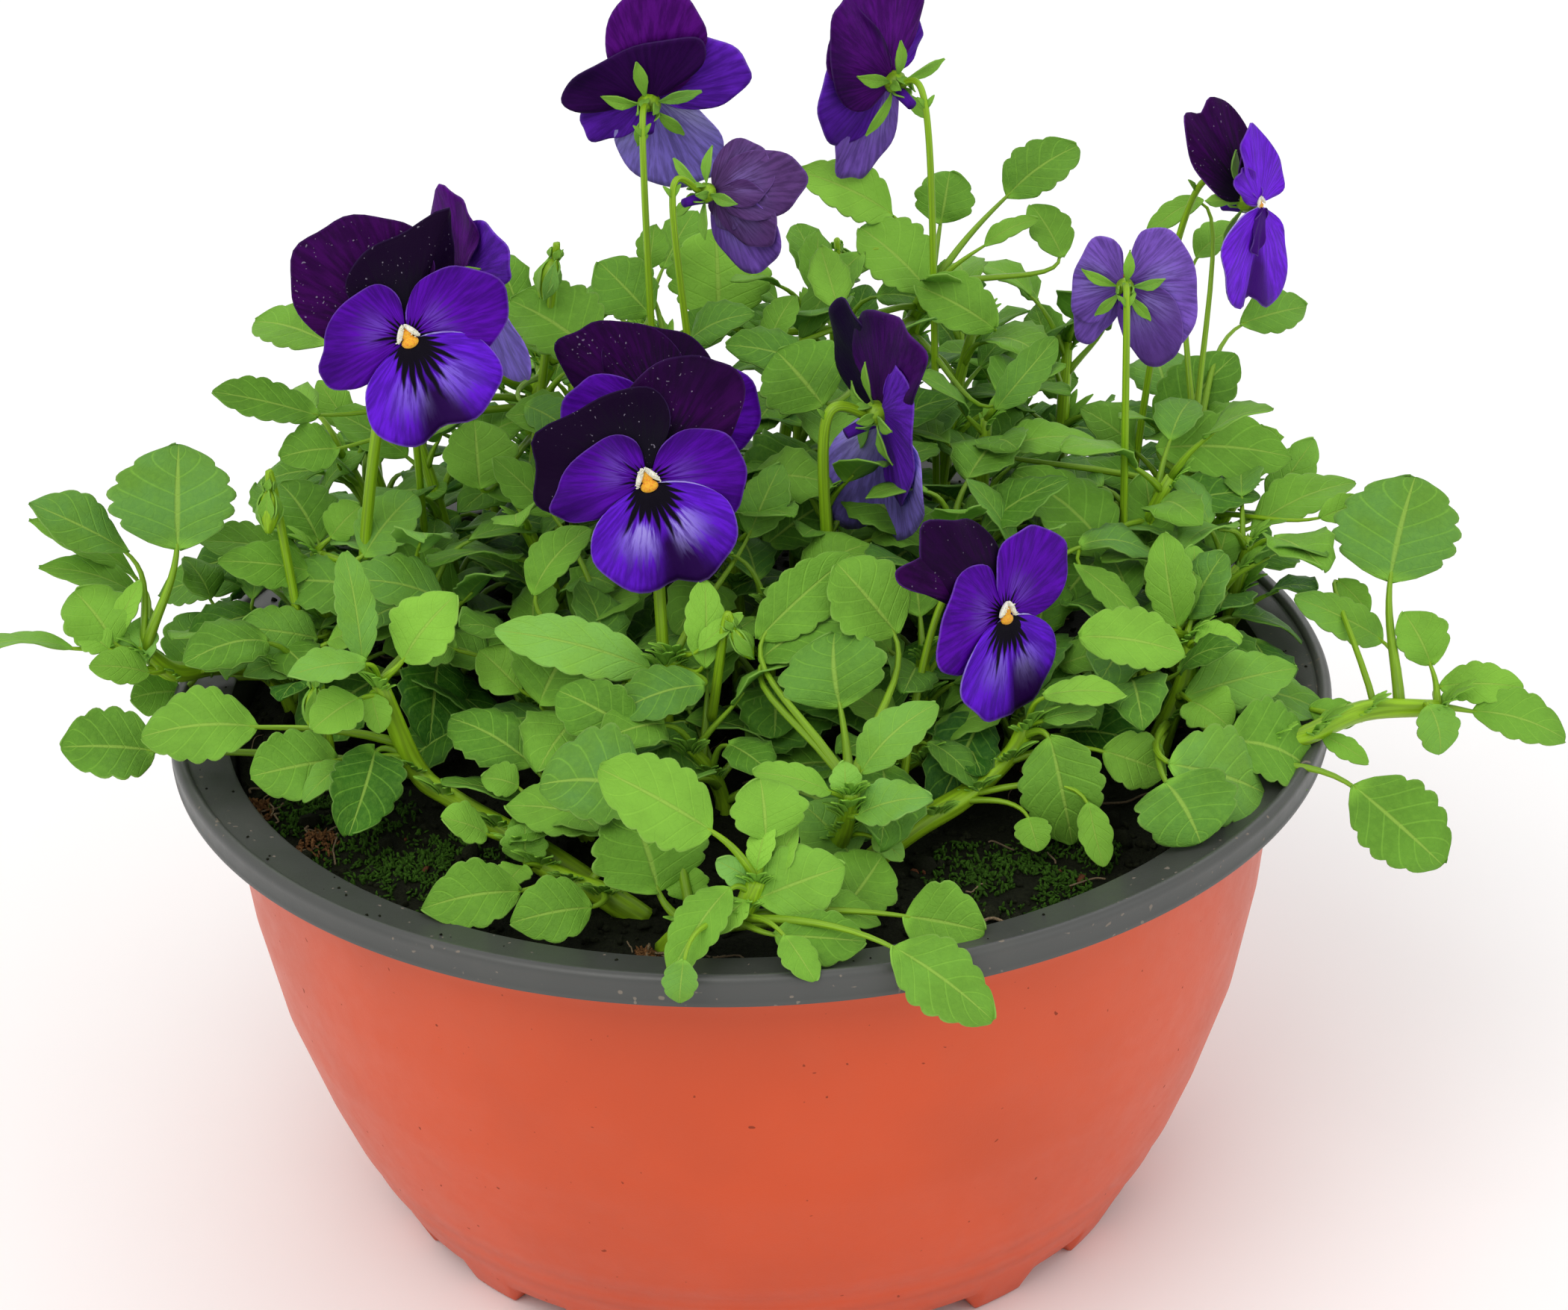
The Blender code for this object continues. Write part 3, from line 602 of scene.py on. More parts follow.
LIP_DUSK = (0.018, 0.0005, 0.060)
LIP_WHISKERS = (0.26, 0.43)
PETAL_LOOKS = {
    "upper petal": PetalLook(
        1, "upper", (0.007, 0.001, 0.014), edge=0.04, spread=0.5, heart=0.75, gloss=0.04, dust=0.25),
    "side petal": PetalLook(
        2, "side", (0.014, 0.0004, 0.055), whiskers=(0.07, 0.21), count=12.0, pale=0.14,
        pale_band=(0.16, 0.50), gap=0.0, edge=0.22, gloss=0.06),
    "lip petal": PetalLook(
        3, "lip", LIP_DUSK, whiskers=LIP_WHISKERS, pale=1.0, pale_band=(0.34, 0.74), edge=0.40),
    "quiet lip petal": PetalLook(
        4, "lip", LIP_DUSK, whiskers=LIP_WHISKERS, pale=0.42, pale_band=(0.34, 0.80), edge=0.40),
    "upper petal back": PetalLook(5, (0.080, 0.004, 0.170), (0.009, 0.0012, 0.026), edge=0.06, gloss=0.05),
    "side petal back": PetalLook(6, (0.105, 0.014, 0.420), (0.035, 0.002, 0.130), edge=0.20),
    "lip petal back": PetalLook(
        7, (0.200, 0.140, 0.570), (0.110, 0.030, 0.420), pale=0.9, pale_band=(0.02, 0.92),
        faded=(0.46, 0.43, 0.76), gap=0.28),
    "faded petal back": PetalLook(8, (0.160, 0.075, 0.420), (0.080, 0.030, 0.190), pale=0.5, gap=0.02),
    "dusty petal back": PetalLook(
        9, (0.088, 0.038, 0.150), (0.060, 0.018, 0.110), pale=0.25, gap=0.02, edge=0.15, gloss=0.05),
    "plain petal": PetalLook(10, (0.125, 0.012, 0.560), (0.040, 0.002, 0.150)),
}


def petal_finish(name, look):
    """A velvety petal: whiskered dark spot, pale streaks, dusky tip and a thin pale edge."""
    g = Finish(name, Specular_IOR_Level=look.gloss, Sheen_Weight=0.2 * look.gloss, Sheen_Roughness=0.4,
               Sheen_Tint=(0.5, 0.25, 1.0, 1))
    colour = look.colour
    if isinstance(colour, str):
        colour = tuple(getattr(bpy.context.scene.viola_flowers, colour))
    place = g.carried("place", "Vector")
    dusk = g.carried("tone")
    seed = g.plus(g.carried("seed"), look.number)
    turn, reach, rim = g.split(place)
    streaks = g.group(streak_effect(), Place=place, Count=60.0, Length=3.6, Seed=seed)
    base = g.mix(g.step(0.34, 0.68, streaks["Fine"]), shade(colour, 1 - 0.6 * look.spread),
                 shade(colour, 1 + 0.8 * look.spread))
    depth = g.times(dusk, g.step(0.10, 0.62, g.plus(dusk, g.times(streaks["Coarse"], 0.5))))
    base = g.mix(depth, base, look.dusk)
    if look.pale:
        low, high = look.pale_band
        full = low + 0.12
        shifted = g.plus(reach, g.scaled(streaks["Fine"], 0.44, -0.22))
        band = g.times(g.step(low, full, shifted), g.rest(g.step(full, high, shifted)))
        beside = g.size(turn)
        sides = g.times(g.step(look.gap * 0.25, look.gap + 0.01, beside),
                        g.rest(g.step(look.gap + 0.07, look.gap + 0.22, beside)))
        lines = g.scaled(g.step(0.36, 0.60, streaks["Fine"]), 0.75, 0.25)
        base = g.mix(g.times(g.times(band, lines), g.times(sides, look.pale)), base, look.faded)
    if look.heart:
        ragged = g.plus(reach, g.scaled(streaks["Fine"], 0.5, -0.25))
        core = g.rest(g.step(look.heart * 0.3, look.heart, ragged))
        base = g.mix(g.times(core, 0.9), base, (0.006, 0.005, 0.010))
    if look.whiskers:
        root, tip = look.whiskers
        spot = g.group(whisker_effect(), Place=place, Count=look.count, Root=root, Tip=tip, Seed=seed)
        base = g.mix(spot["Mask"], base, (0.003, 0.0015, 0.006))
    if look.dust:
        grains = g.group(speck_effect(), Spot=g.spot(), Scale=1700.0, Amount=look.dust)
        base = g.mix(g.times(grains["Mask"], 0.35), base, (0.42, 0.38, 0.48))
    base = g.mix(g.times(g.step(0.975, 1.0, rim), look.edge), base, (0.36, 0.20, 0.72))
    mottle = g.group(mottle_effect(), Spot=g.spot(), Scale=260.0)
    velvet = g.plus(g.times(streaks["Fine"], 0.9), g.times(mottle["Fine"], 0.5))
    return g.dressed(base, g.scaled(streaks["Fine"], 0.25, 0.45), g.bump(velvet, 0.35, 0.0005))


def fuzzy(name, colour, dark):
    """A small soft pad, with grains of a second colour."""
    g = Finish(name, Sheen_Weight=0.15)
    mottle = g.group(mottle_effect(), Spot=g.spot(), Scale=300.0)
    base = g.mix(g.step(0.45, 0.7, mottle["Fine"]), colour, dark)
    return g.dressed(base, g.scaled(mottle["Fine"], 0.3, 0.4), g.bump(mottle["Fine"], 0.5, 0.0004))


def finish(name):
    """The named material, made on first use from the scene's settings."""
    material = bpy.data.materials.get(name)
    if material:
        return material
    if name in PETAL_LOOKS:
        return petal_finish(name, PETAL_LOOKS[name])
    scene = bpy.context.scene
    bowl, leaves = scene.viola_bowl, scene.viola_leaves
    shell, rim, soil = tuple(bowl.shell), tuple(bowl.rim), tuple(scene.viola_soil.soil)
    mature, young = tuple(leaves.mature), tuple(leaves.young)
    maker, *looks = {
        "terracotta plastic": (plastic, shell, 0.16, shade(shell, 0.45)),
        "charcoal plastic": (plastic, rim, 0.30, (0.18, 0.15, 0.12)),
        "damp soil": (earth, soil, 160.0),
        "soil crumb": (earth, shade(soil, 1.5), 260.0),
        "bark crumb": (earth, (0.17, 0.060, 0.026), 240.0),
        "brown tuft": (earth, (0.27, 0.125, 0.045), 420.0),
        "dry fibre": (earth, (0.30, 0.22, 0.13), 300.0, 0.4),
        "moss": (earth, tuple(scene.viola_soil.moss), 420.0),
        "leaf": (leaf_finish, mature, young),
        "leaf underside": (leaf_finish, mature, young, True),
        "stem": (stem_finish, tuple(leaves.stem)),
        "yellow eye": (fuzzy, tuple(scene.viola_flowers.eye), (0.80, 0.16, 0.01)),
        "white beard": (fuzzy, (0.85, 0.84, 0.74), (0.80, 0.74, 0.45)),
    }[name]
    return maker(name, *looks)


# ---------------------------------------------------------------- bowl
# Height and outer radius of the wall, from the foot ring up to under the rim.
WALL = ((7.0, 88.0), (14.4, 91.5), (15.2, 92.5), (21.4, 94.8), (22.6, 96.0), (34.0, 100.4), (54.0, 106.8),
        (76.0, 111.0), (98.0, 113.4), (105.6, 114.1), (106.4, 114.6), (114.0, 115.2))
WALL_THICKNESS = 1.2
LINER_GAP, LINER_THICKNESS = 0.35, 0.9
LINER_HEIGHTS = (34, 60, 80, 100, 112)
RIM_DROP, RIM_THICKNESS, RIM_ROUND = 6.5, 1.4, 1.5
RIM_SEGMENTS = 256
# Radius and height where the flange leaves the inner skin, on its underside and on top.
FLANGE_UNDER = ((113.7, 113.9), (114.3, 114.5))
FLANGE_TOP = ((113.6, 115.6), (112.9, 115.1))
FEET = 18
FOOT_RISE = 4.5
FOOT_OUTER, FOOT_INNER = 84.6, 79.0
HUB_RADIUS, FLOOR_RADIUS = 2.0, 82.5
TURN_STEPS = 20             # segments for each foot and gap


def foot_height(share):
    """Height of the foot ring at a share of one foot and gap: a foot with rounded shoulders, then a gap."""
    away = abs((share % 1.0) - 0.25)
    away = min(away, 1 - away)
    return FOOT_RISE * float(blend(0.20, 0.30, away))


def lathe(skin, rows, segments):
    """Turns rows of (radius, height) about Z; a height may be a function of the angle's share of a turn."""
    shares = np.arange(segments) / segments
    angles = shares * 2 * math.pi
    rings = []
    for radius, height in rows:
        heights = [height(s) if callable(height) else height for s in shares]
        rings.append(np.stack([radius * np.cos(angles), radius * np.sin(angles), np.array(heights)], -1))
    skin.grid(np.array(rings), wrap=True, caps=True)


def wall_radius(height):
    """Outer radius of the wall at a height."""
    return float(np.interp(height, [z for z, _ in WALL], [r for _, r in WALL]))


def wall_rows(spacing, inset=0.0):
    """The wall's rows, no more than about a spacing apart, and moved in by an inset."""
    rows = []
    for (z0, r0), (z1, r1) in zip(WALL, WALL[1:]):
        count = max(1, round((z1 - z0) / spacing))
        for k in range(count):
            t = k / count
            rows.append((r0 + (r1 - r0) * t - inset, z0 + (z1 - z0) * t))
    return rows + [(WALL[-1][1] - inset, WALL[-1][0])]


class VIOLA_OT_bowl(Operator):
    """Turns the terracotta wall on its feet, and the charcoal rim with its inner skin"""
    bl_idname = "viola.bowl"
    bl_label = "Bowl"

    def execute(self, context):
        sizes = context.scene.viola_bowl
        self.outside()
        self.rim(sizes.rim_radius / MM, sizes.rim_top / MM)
        return {"FINISHED"}

    def finished(self, rows, segments, crease, name, look, node, slot):
        """One turned piece, with edges sharper than the crease left hard."""
        skin = Skin()
        lathe(skin, rows, segments)
        item = skin.make(name, [finish(look)])
        item.data.set_sharp_from_angle(angle=math.radians(crease))
        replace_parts(item, node)

    def outside(self):
        def lifted(extra):
            return lambda share: foot_height(share * FEET) + extra

        floor = FOOT_RISE + 0.1
        rows = [(HUB_RADIUS, floor), (FOOT_INNER - 1.5, floor), (FOOT_INNER - 0.2, lifted(0.4)),
                (FOOT_INNER + 0.6, lifted(0.0)), (FOOT_OUTER - 0.8, lifted(0.0)), (FOOT_OUTER, lifted(0.3)),
                (FOOT_OUTER + 0.35, lifted(0.9))]
        rows += wall_rows(3.5)
        rows += reversed(wall_rows(12.0, WALL_THICKNESS))
        rows += [(FLOOR_RADIUS, FOOT_RISE + WALL_THICKNESS), (HUB_RADIUS, FOOT_RISE + WALL_THICKNESS)]
        self.finished(rows, FEET * TURN_STEPS, 50, "bowl_outside", "terracotta plastic", "pot_shell",
                      "terracotta_plastic")

    def rim(self, radius, top):
        """The inner skin, the sloping flange over the wall's top, and the rounded lip that hangs outside."""
        inside, bottom, crown = radius - RIM_THICKNESS, top - RIM_DROP, top - RIM_ROUND
        outer_skin = WALL_THICKNESS + LINER_GAP
        rows = [(wall_radius(z) - outer_skin, z) for z in LINER_HEIGHTS]
        rows += [*FLANGE_UNDER, (radius - 4, 115.9), (inside - 0.4, 115.6), (inside, 115.0),
                 (inside, bottom + 0.4), (inside + 0.3, bottom), (radius - 0.5, bottom),
                 (radius - 0.15, bottom + 0.25), (radius - 0.05, bottom + 1.2),
                 (radius - 0.25, bottom + 1.5), (radius, top - 1.9)]
        for degrees in range(0, 181, 20):
            a = math.radians(degrees)
            rows.append((radius - RIM_ROUND + RIM_ROUND * math.cos(a), crown + RIM_ROUND * math.sin(a)))
        rows += [(radius - 3.6, top - 1.9), *FLANGE_TOP]
        rows += [(wall_radius(z) - outer_skin - LINER_THICKNESS, z) for z in reversed(LINER_HEIGHTS)]
        self.finished(rows, RIM_SEGMENTS, 45, "bowl_rim", "charcoal plastic", "pot_liner", "charcoal_plastic")


# ---------------------------------------------------------------- soil
SOIL_RADIUS, SOIL_BOTTOM = 110.9, 100.0
SOIL_RINGS, SOIL_SPOKES = 86, 180
BIG_CRUMBS, BARK_CRUMBS = 0.08, 0.03        # shares of the crumbs
RIM_CRUMBS = 70
FLANGE_FROM, FLANGE_TO, FLANGE_HEIGHT = 112.6, 121.0, 115.4
FLANGE_SLOPE = 0.7 / 9.6
FIBRES, TUFT_FIBRES = 70, 6
CRUMB_SEED, MOSS_SEED, TUFT_SEED, FIBRE_SEED = 11, 23, 37, 31
FIBRE_REACH, FIBRE_LIMIT = 108, 110         # radii that hold the fibres' middles and their ends
# Patches of moss on the soil: middle and radius.
MOSS = ((-83, -42, 14), (-77, -61, 16), (-66, -70, 14), (-58, -58, 10), (-94, -40, 9), (52, -81, 15),
        (62, -68, 12), (44, -74, 12), (64, -84, 10), (-20, 84, 14), (64, 66, 12), (-92, 34, 11))
# Brown fuzzy tufts on the soil: middle and radius.
TUFTS = ((-104, -38, 4.2), (-90, -52, 4.6), (-22, -101, 2.2), (-7, -105, 2.4), (-30, 92, 3.0), (90, 44, 3.4))
# A pale root on the soil: points along it.
PALE_ROOT = ((38, -92), (42, -95), (46, -93), (51, -95), (55, -92))


def soil_height(x, y):
    """Height of the soil: gently heaped, lumpy, and lower by the wall."""
    away = math.hypot(x, y)
    heap = 1.8 * (1 - float(blend(20, 100, away)))
    lumps = 1.5 * ripple(x, y, 0, 0.06, 3) + 0.9 * ripple(x, y, 0, 0.19, 7) + 0.4 * ripple(x, y, 5, 0.55, 1)
    return SOIL_TOP - 1.0 + heap + lumps - 1.6 * float(blend(96, 111, away))


def soil_piece(skin, name, *looks):
    """Makes a piece of the soil in the named finishes."""
    item = skin.make(name, [finish(look) for look in looks])
    return item


class VIOLA_OT_soil(Operator):
    """Fills the bowl with lumpy damp soil, and scatters crumbs, bark, moss and fibres on it"""
    bl_idname = "viola.soil"
    bl_label = "Soil"

    def execute(self, context):
        self.ground()
        self.crumbs(context.scene.viola_soil.crumbs)
        self.moss()
        self.tufts()
        self.fibres()
        return {"FINISHED"}

    def ground(self):
        skin = Skin()
        rings = []
        angles = np.linspace(0, 2 * math.pi, SOIL_SPOKES, endpoint=False)
        for radius in np.linspace(0.5, SOIL_RADIUS, SOIL_RINGS):
            rings.append([(x, y, soil_height(x, y)) for x, y in (polar(radius, a) for a in angles)])
        rings.append([(x * 0.996, y * 0.996, SOIL_BOTTOM) for x, y, _ in rings[-1]])
        skin.grid(np.array(rings), wrap=True, caps=True)
        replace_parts(soil_piece(skin, "soil", "damp soil"), "potting_soil")

    def crumbs(self, count):
        source = random.Random(CRUMB_SEED)
        skin, templates = Skin(), (ball(0), ball(1))
        for _ in range(count):
            away = SOIL_RADIUS * math.sqrt(source.random())
            x, y = polar(away, source.uniform(0, 2 * math.pi))
            big = source.random() < BIG_CRUMBS
            size = source.uniform(1.4, 2.6) if big else source.uniform(0.45, 1.3)
            limit = SOIL_RADIUS - size
            if away > limit:
                x, y = x * limit / away, y * limit / away
            lift = soil_height(x, y) + size * 0.25
            shape = (size, size * source.uniform(0.6, 1), size * source.uniform(0.4, 0.8))
            slot = 1 if source.random() < BARK_CRUMBS else 0
            skin.lump(templates[big], (x, y, lift), shape, source, slot=slot)
        for _ in range(RIM_CRUMBS):
            angle = source.uniform(0, 2 * math.pi)
            away = source.uniform(FLANGE_FROM, FLANGE_TO)
            size = source.uniform(0.15, 0.38) * (1.8 if source.random() < 0.1 else 1)
            height = FLANGE_HEIGHT + (away - FLANGE_FROM) * FLANGE_SLOPE + size * 0.3
            skin.lump(templates[0], (*polar(away, angle), height), (size,) * 3, source)
        soil_piece(skin, "soil_crumbs", "soil crumb", "bark crumb")

    def moss(self):
        source = random.Random(MOSS_SEED)
        skin, template = Skin(), ball(0)
        for x0, y0, radius in MOSS:
            for _ in range(int(radius * radius * 2.4)):
                away, angle = radius * source.random() ** 0.6, source.uniform(0, 2 * math.pi)
                x, y = x0 + away * math.cos(angle), y0 + 0.8 * away * math.sin(angle)
                if math.hypot(x, y) > SOIL_RADIUS - 1.5 or ripple(x, y, 0, 0.16, 9) < -0.25:
                    continue
                size = source.uniform(0.30, 0.75)
                lift = soil_height(x, y) + source.uniform(0.1, 0.9)
                skin.lump(template, (x, y, lift), (size * 0.5, size * 0.5, size * 1.5), source)
        soil_piece(skin, "soil_moss", "moss")

    def tufts(self):
        """Little heaps of brown fuzz, made of thin lumps on end."""
        source = random.Random(TUFT_SEED)
        skin, template = Skin(), ball(0)
        for x0, y0, radius in TUFTS:
            for _ in range(int(radius * 26)):
                away, angle = radius * source.random() ** 0.6, source.uniform(0, 2 * math.pi)
                x, y = x0 + away * math.cos(angle), y0 + away * math.sin(angle)
                dome = radius * 0.75 * (1 - (away / radius) ** 2)
                size = source.uniform(0.35, 0.8)
                lift = soil_height(x, y) + dome * source.uniform(0.4, 1.0)
                skin.lump(template, (x, y, lift), (size * 0.45, size * 0.45, size * 1.6), source, 0.35)
        soil_piece(skin, "soil_tufts", "brown tuft")

    def fibres(self):
        source = random.Random(FIBRE_SEED)
        skin = Skin()
        for _ in range(FIBRES):
            x, y = polar(FIBRE_REACH * math.sqrt(source.random()), source.uniform(0, 2 * math.pi))
            self.fibre(skin, source, x, y, source.uniform(5, 16))
        for x, y, _ in TUFTS:
            for _ in range(TUFT_FIBRES):
                spot = x + source.gauss(0, 2.5), y + source.gauss(0, 2.5)
                self.fibre(skin, source, *spot, source.uniform(3, 8))
        root = smooth_path([(x, y, soil_height(x, y) + 1.0) for x, y in PALE_ROOT], 5)
        skin.tube(root, 0.35, 6, 1.0)
        soil_piece(skin, "soil_fibres", "dry fibre")

    def fibre(self, skin, source, x, y, reach):
        turn = source.uniform(0, 2 * math.pi)
        points = []
        for share in (-0.5, -0.2, 0.2, 0.5):
            px = x + reach * share * math.cos(turn) + source.gauss(0, reach * 0.08)
            py = y + reach * share * math.sin(turn) + source.gauss(0, reach * 0.08)
            away = math.hypot(px, py)
            if away > FIBRE_LIMIT:
                px, py = px * FIBRE_LIMIT / away, py * FIBRE_LIMIT / away
            points.append((px, py, soil_height(px, py) + 0.5 + source.uniform(0, 0.8)))
        skin.tube(smooth_path(points, 4), source.uniform(0.12, 0.3), 5, source.random())


# ---------------------------------------------------------------- leaves
FINE_COLUMNS = np.array([-1, -0.92, -0.66, -0.34, -0.08, 0.08, 0.34, 0.66, 0.92, 1.0])
COARSE_COLUMNS = np.array([-1, -0.6, -0.12, 0.12, 0.6, 1.0])
TEETH_FROM, TEETH_TO = 0.16, 0.955
LEAF_FACING = np.array((0.0, -0.55, 0.83))      # the way that most blades face
TOOTH_PITCH, TOOTH_DEPTH = 4.6, 0.125        # millimetres a tooth, and its depth as a share of the half width
LOBE_THICKNESS = 0.25
STIPULE_LOBES = 5
STEM_SLOT = 2               # slots 0 and 1 are a leaf's face and back


class Leaf:
    """One leaf: where its blade starts and ends, its width and how it is bent.

    narrow runs from 0, ovate, to 1, a slender lobe; point from 0, a round tip, to 1, a sharp one. tone runs
    from 0, full-grown, to 1, young; on the low shoots a low tone is also painted shade deep in the foliage.
    fine blades have more rows and columns.
    """

    def __init__(self, source, base, tip, width, tone, roll=0.0, teeth=None, narrow=0.0, normal=LEAF_FACING,
                 fine=True, point=0.3):
        self.base, self.tip = np.array(base, float), np.array(tip, float)
        self.width, self.tone, self.roll, self.narrow, self.fine = width, tone, roll, narrow, fine
        self.length = float(np.linalg.norm(self.tip - self.base))
        self.teeth = teeth or max(3, min(5, round(self.length / TOOTH_PITCH)))
        self.point = point
        self.fold = source.uniform(0.08, 0.32)
        self.arch = source.uniform(0.02, 0.11)
        self.droop = source.uniform(0.04, 0.24)
        self.wave = source.uniform(0.02, 0.08)
        self.sway = source.uniform(-0.09, 0.09)
        self.skew = source.uniform(-0.10, 0.10)
        self.phase = source.uniform(0, 6.28)
        self.seed = source.random()
        self.normal = normal

    def frame(self):
        along = unit(self.tip - self.base)
        normal = turned(unit(self.normal), along, self.roll)
        side = unit(np.cross(along, normal))
        return along, side, np.cross(side, along)

    def outline(self, share):
        """Half width over the blade's greatest half width, at a share of its length."""
        broad = np.sin(math.pi * share ** 1.02) ** (0.74 * (1 - share) + (0.46 + 0.4 * self.point) * share)
        slim = np.sin(math.pi * share ** 1.4) ** 1.1
        return broad * (1 - self.narrow) + slim * self.narrow

    def rows(self):
        """Shares of the length at which the blade has a row: at each notch, tooth and between."""
        per_tooth = 5 if self.fine else 2
        toothed = np.linspace(TEETH_FROM, TEETH_TO, self.teeth * per_tooth + 1)
        return np.concatenate([[0.004, 0.04, 0.10], toothed, [0.975, 0.988, 0.997]])

    def blade(self, skin):
        """A blade with rounded teeth, a folded midrib, a drooping arch and a wavy edge."""
        along, side, up = self.frame()
        share = self.rows()
        half = self.outline(share) * self.width / 2
        cycle = (share - TEETH_FROM) / (TEETH_TO - TEETH_FROM) * self.teeth
        tooth = np.where((cycle > 0) & (cycle < self.teeth), np.abs(np.sin(math.pi * cycle)) ** 0.8, 0)
        depth = TOOTH_DEPTH * (1 - tooth) * blend(0.10, 0.3, share) * (1 - 0.6 * self.narrow)
        across = (FINE_COLUMNS if self.fine else COARSE_COLUMNS)[None, :]
        s = share[:, None]
        away, hand = np.abs(across), np.sign(across)
        x = across * half[:, None] * (1 - away ** 5 * depth[:, None]) * (1 + self.skew * hand)
        lift = self.arch * self.length * 4 * (s * (1 - s)) - self.droop * self.length * s ** 2.2
        lift = lift + np.abs(x) * self.fold * (1 - 0.4 * s)
        lift = lift + self.wave * self.width * across ** 2 * np.sin(s * 9 + self.phase + 1.5 * hand)
        pucker = np.abs(np.sin(math.pi * self.teeth * (s - 0.3 * away)))
        lift = lift + 0.014 * self.width * pucker * (1 - away) * away * 4
        y = s * self.length - 0.16 * np.abs(x) * (1 - s)
        drift = self.sway * self.length * s * s
        points = self.base + (x + drift)[..., None] * side + y[..., None] * along + lift[..., None] * up
        places = np.zeros(points.shape)
        places[..., 0], places[..., 1] = across + 0 * s, s + 0 * across
        skin.sheet(points, LEAF_THICKNESS, places, self.tone, seed=self.seed)

    def petiole(self, skin, start):
        """The leaf's own stalk, from the stem into the midrib."""
        along, _, up = self.frame()
        gap = float(np.linalg.norm(self.base - start))
        sag = unit(self.base - start) * 0.35 * gap + UP * 0.10 * gap
        reach = self.base + along * 0.22 * self.length + up * self.arch * self.length * 0.45
        steps, sides = (12, 8) if self.fine else (8, 6)
        path = bezier((start, start + sag, self.base - along * min(0.35 * gap, 8), self.base, reach), steps)
        path = path - up * np.linspace(0, 0.35, steps)[:, None]
        radius = 0.50 + 0.020 * self.width
        radii = np.linspace(radius * 1.25, radius * 0.35, steps)
        skin.tube(path, radii, sides, self.tone, STEM_SLOT, 0.08, self.seed)

    def grow(self, skin, start):
        self.blade(skin)
        self.petiole(skin, start)


def lobe(skin, base, tip, width, normal, tone):
    """A small slender leafy lobe with a crease down its middle."""
    along = unit(tip - base)
    side = unit(np.cross(along, normal))
    up = np.cross(side, along)
    length = np.linalg.norm(tip - base)
    rows = []
    for share, wide in ((0, 0.35), (0.25, 0.87), (0.55, 1.0), (0.85, 0.52), (1, 0.06)):
        middle = base + along * length * share + up * length * 0.10 * math.sin(math.pi * share)
        edge, lift = side * width / 2 * wide, up * width * 0.14 * wide
        rows.append([middle - edge + lift, middle, middle + edge + lift])
    places = np.zeros((len(rows), 3, 3))
    places[..., 0] = (-0.9, 0.0, 0.9)
    places[..., 1] = np.linspace(0.2, 0.9, len(rows))[:, None]
    skin.sheet(np.array(rows), LOBE_THICKNESS, places, tone)


def nearest_below(path, point):
    """The spot on a stem that a leaf's stalk would leave from."""
    cost = np.linalg.norm(path - point, axis=1) + 2.0 * np.maximum(path[:, 2] - point[2] + 3, 0)
    return path[int(np.argmin(cost))]


def stipules(skin, spot, outward, size, source, tone):
    """The comb of narrow lobes that stands at each joint of a stem."""
    outward = unit(outward)
    for side in (-1, 1):
        for k in range(STIPULE_LOBES):
            lean = turned(outward, UP, side * (20 + 20 * k) + source.uniform(-6, 6))
            direction = unit(lean * (0.9 - 0.10 * k) + UP * (0.95 - 0.12 * k))
            reach = size * (1.0 - 0.14 * k) * source.uniform(0.85, 1.15)
            base = spot - UP * 0.5 * k + lean
            normal = unit(np.cross(direction, np.cross(UP, direction))) + LEAF_FACING * 0.5
            lobe(skin, base, base + direction * reach, reach * 0.26, normal, tone)


# Stems of the leafy shoots: points from the soil up. They stand where the CAD shoots stand.
STEMS = {
    "shoot_left_far": ((-99, 12, 108), (-106, 11, 117), (-116, 8, 120), (-124, 0, 123), (-129, -4, 130)),
    "shoot_left_mid": ((-90, 14, 108), (-90, 8, 128), (-91, 8, 138), (-92, 10, 146)),
    "shoot_left_front": ((-33, -72, 108), (-46, -67, 116), (-61, -52, 118), (-69, -44, 121), (-75, -44, 141)),
    "shoot_rim_left": ((-22, -86, 108), (-30, -84, 113), (-40, -78, 115), (-47, -71, 117)),
    "shoot_front": ((-18, -98, 108), (-12, -103, 116), (-4, -106, 120), (0, -104, 127)),
    "shoot_mid_front": ((13, -70, 108), (16, -76, 118), (18, -81, 126), (19, -83, 134)),
    "shoot_front_right": ((20, -71, 108), (32, -67, 116), (43, -60, 119), (52, -54, 124), (56, -52, 130)),
    "shoot_right_front": ((84, -30, 108), (88, -28, 118), (92, -25, 126), (92, -22, 134)),
    "shoot_right_far": ((92, -44, 108), (103, -43, 118), (114, -42, 120), (128, -32, 120), (144, -30, 119)),
    "shoot_right_back": ((96, 30, 108), (98, 26, 130), (98, 28, 142), (100, 34, 150)),
    "shoot_centre": ((-28, -20, 108), (-26, -28, 127), (-18, -36, 137), (-15, -38, 142)),
    "shoot_back": ((36, 80, 108), (38, 76, 150), (40, 72, 168), (44, 66, 179)),
    "shoot_back_left": ((-42, 60, 108), (-44, 46, 150), (-46, 44, 163), (-41, 44, 174)),
}

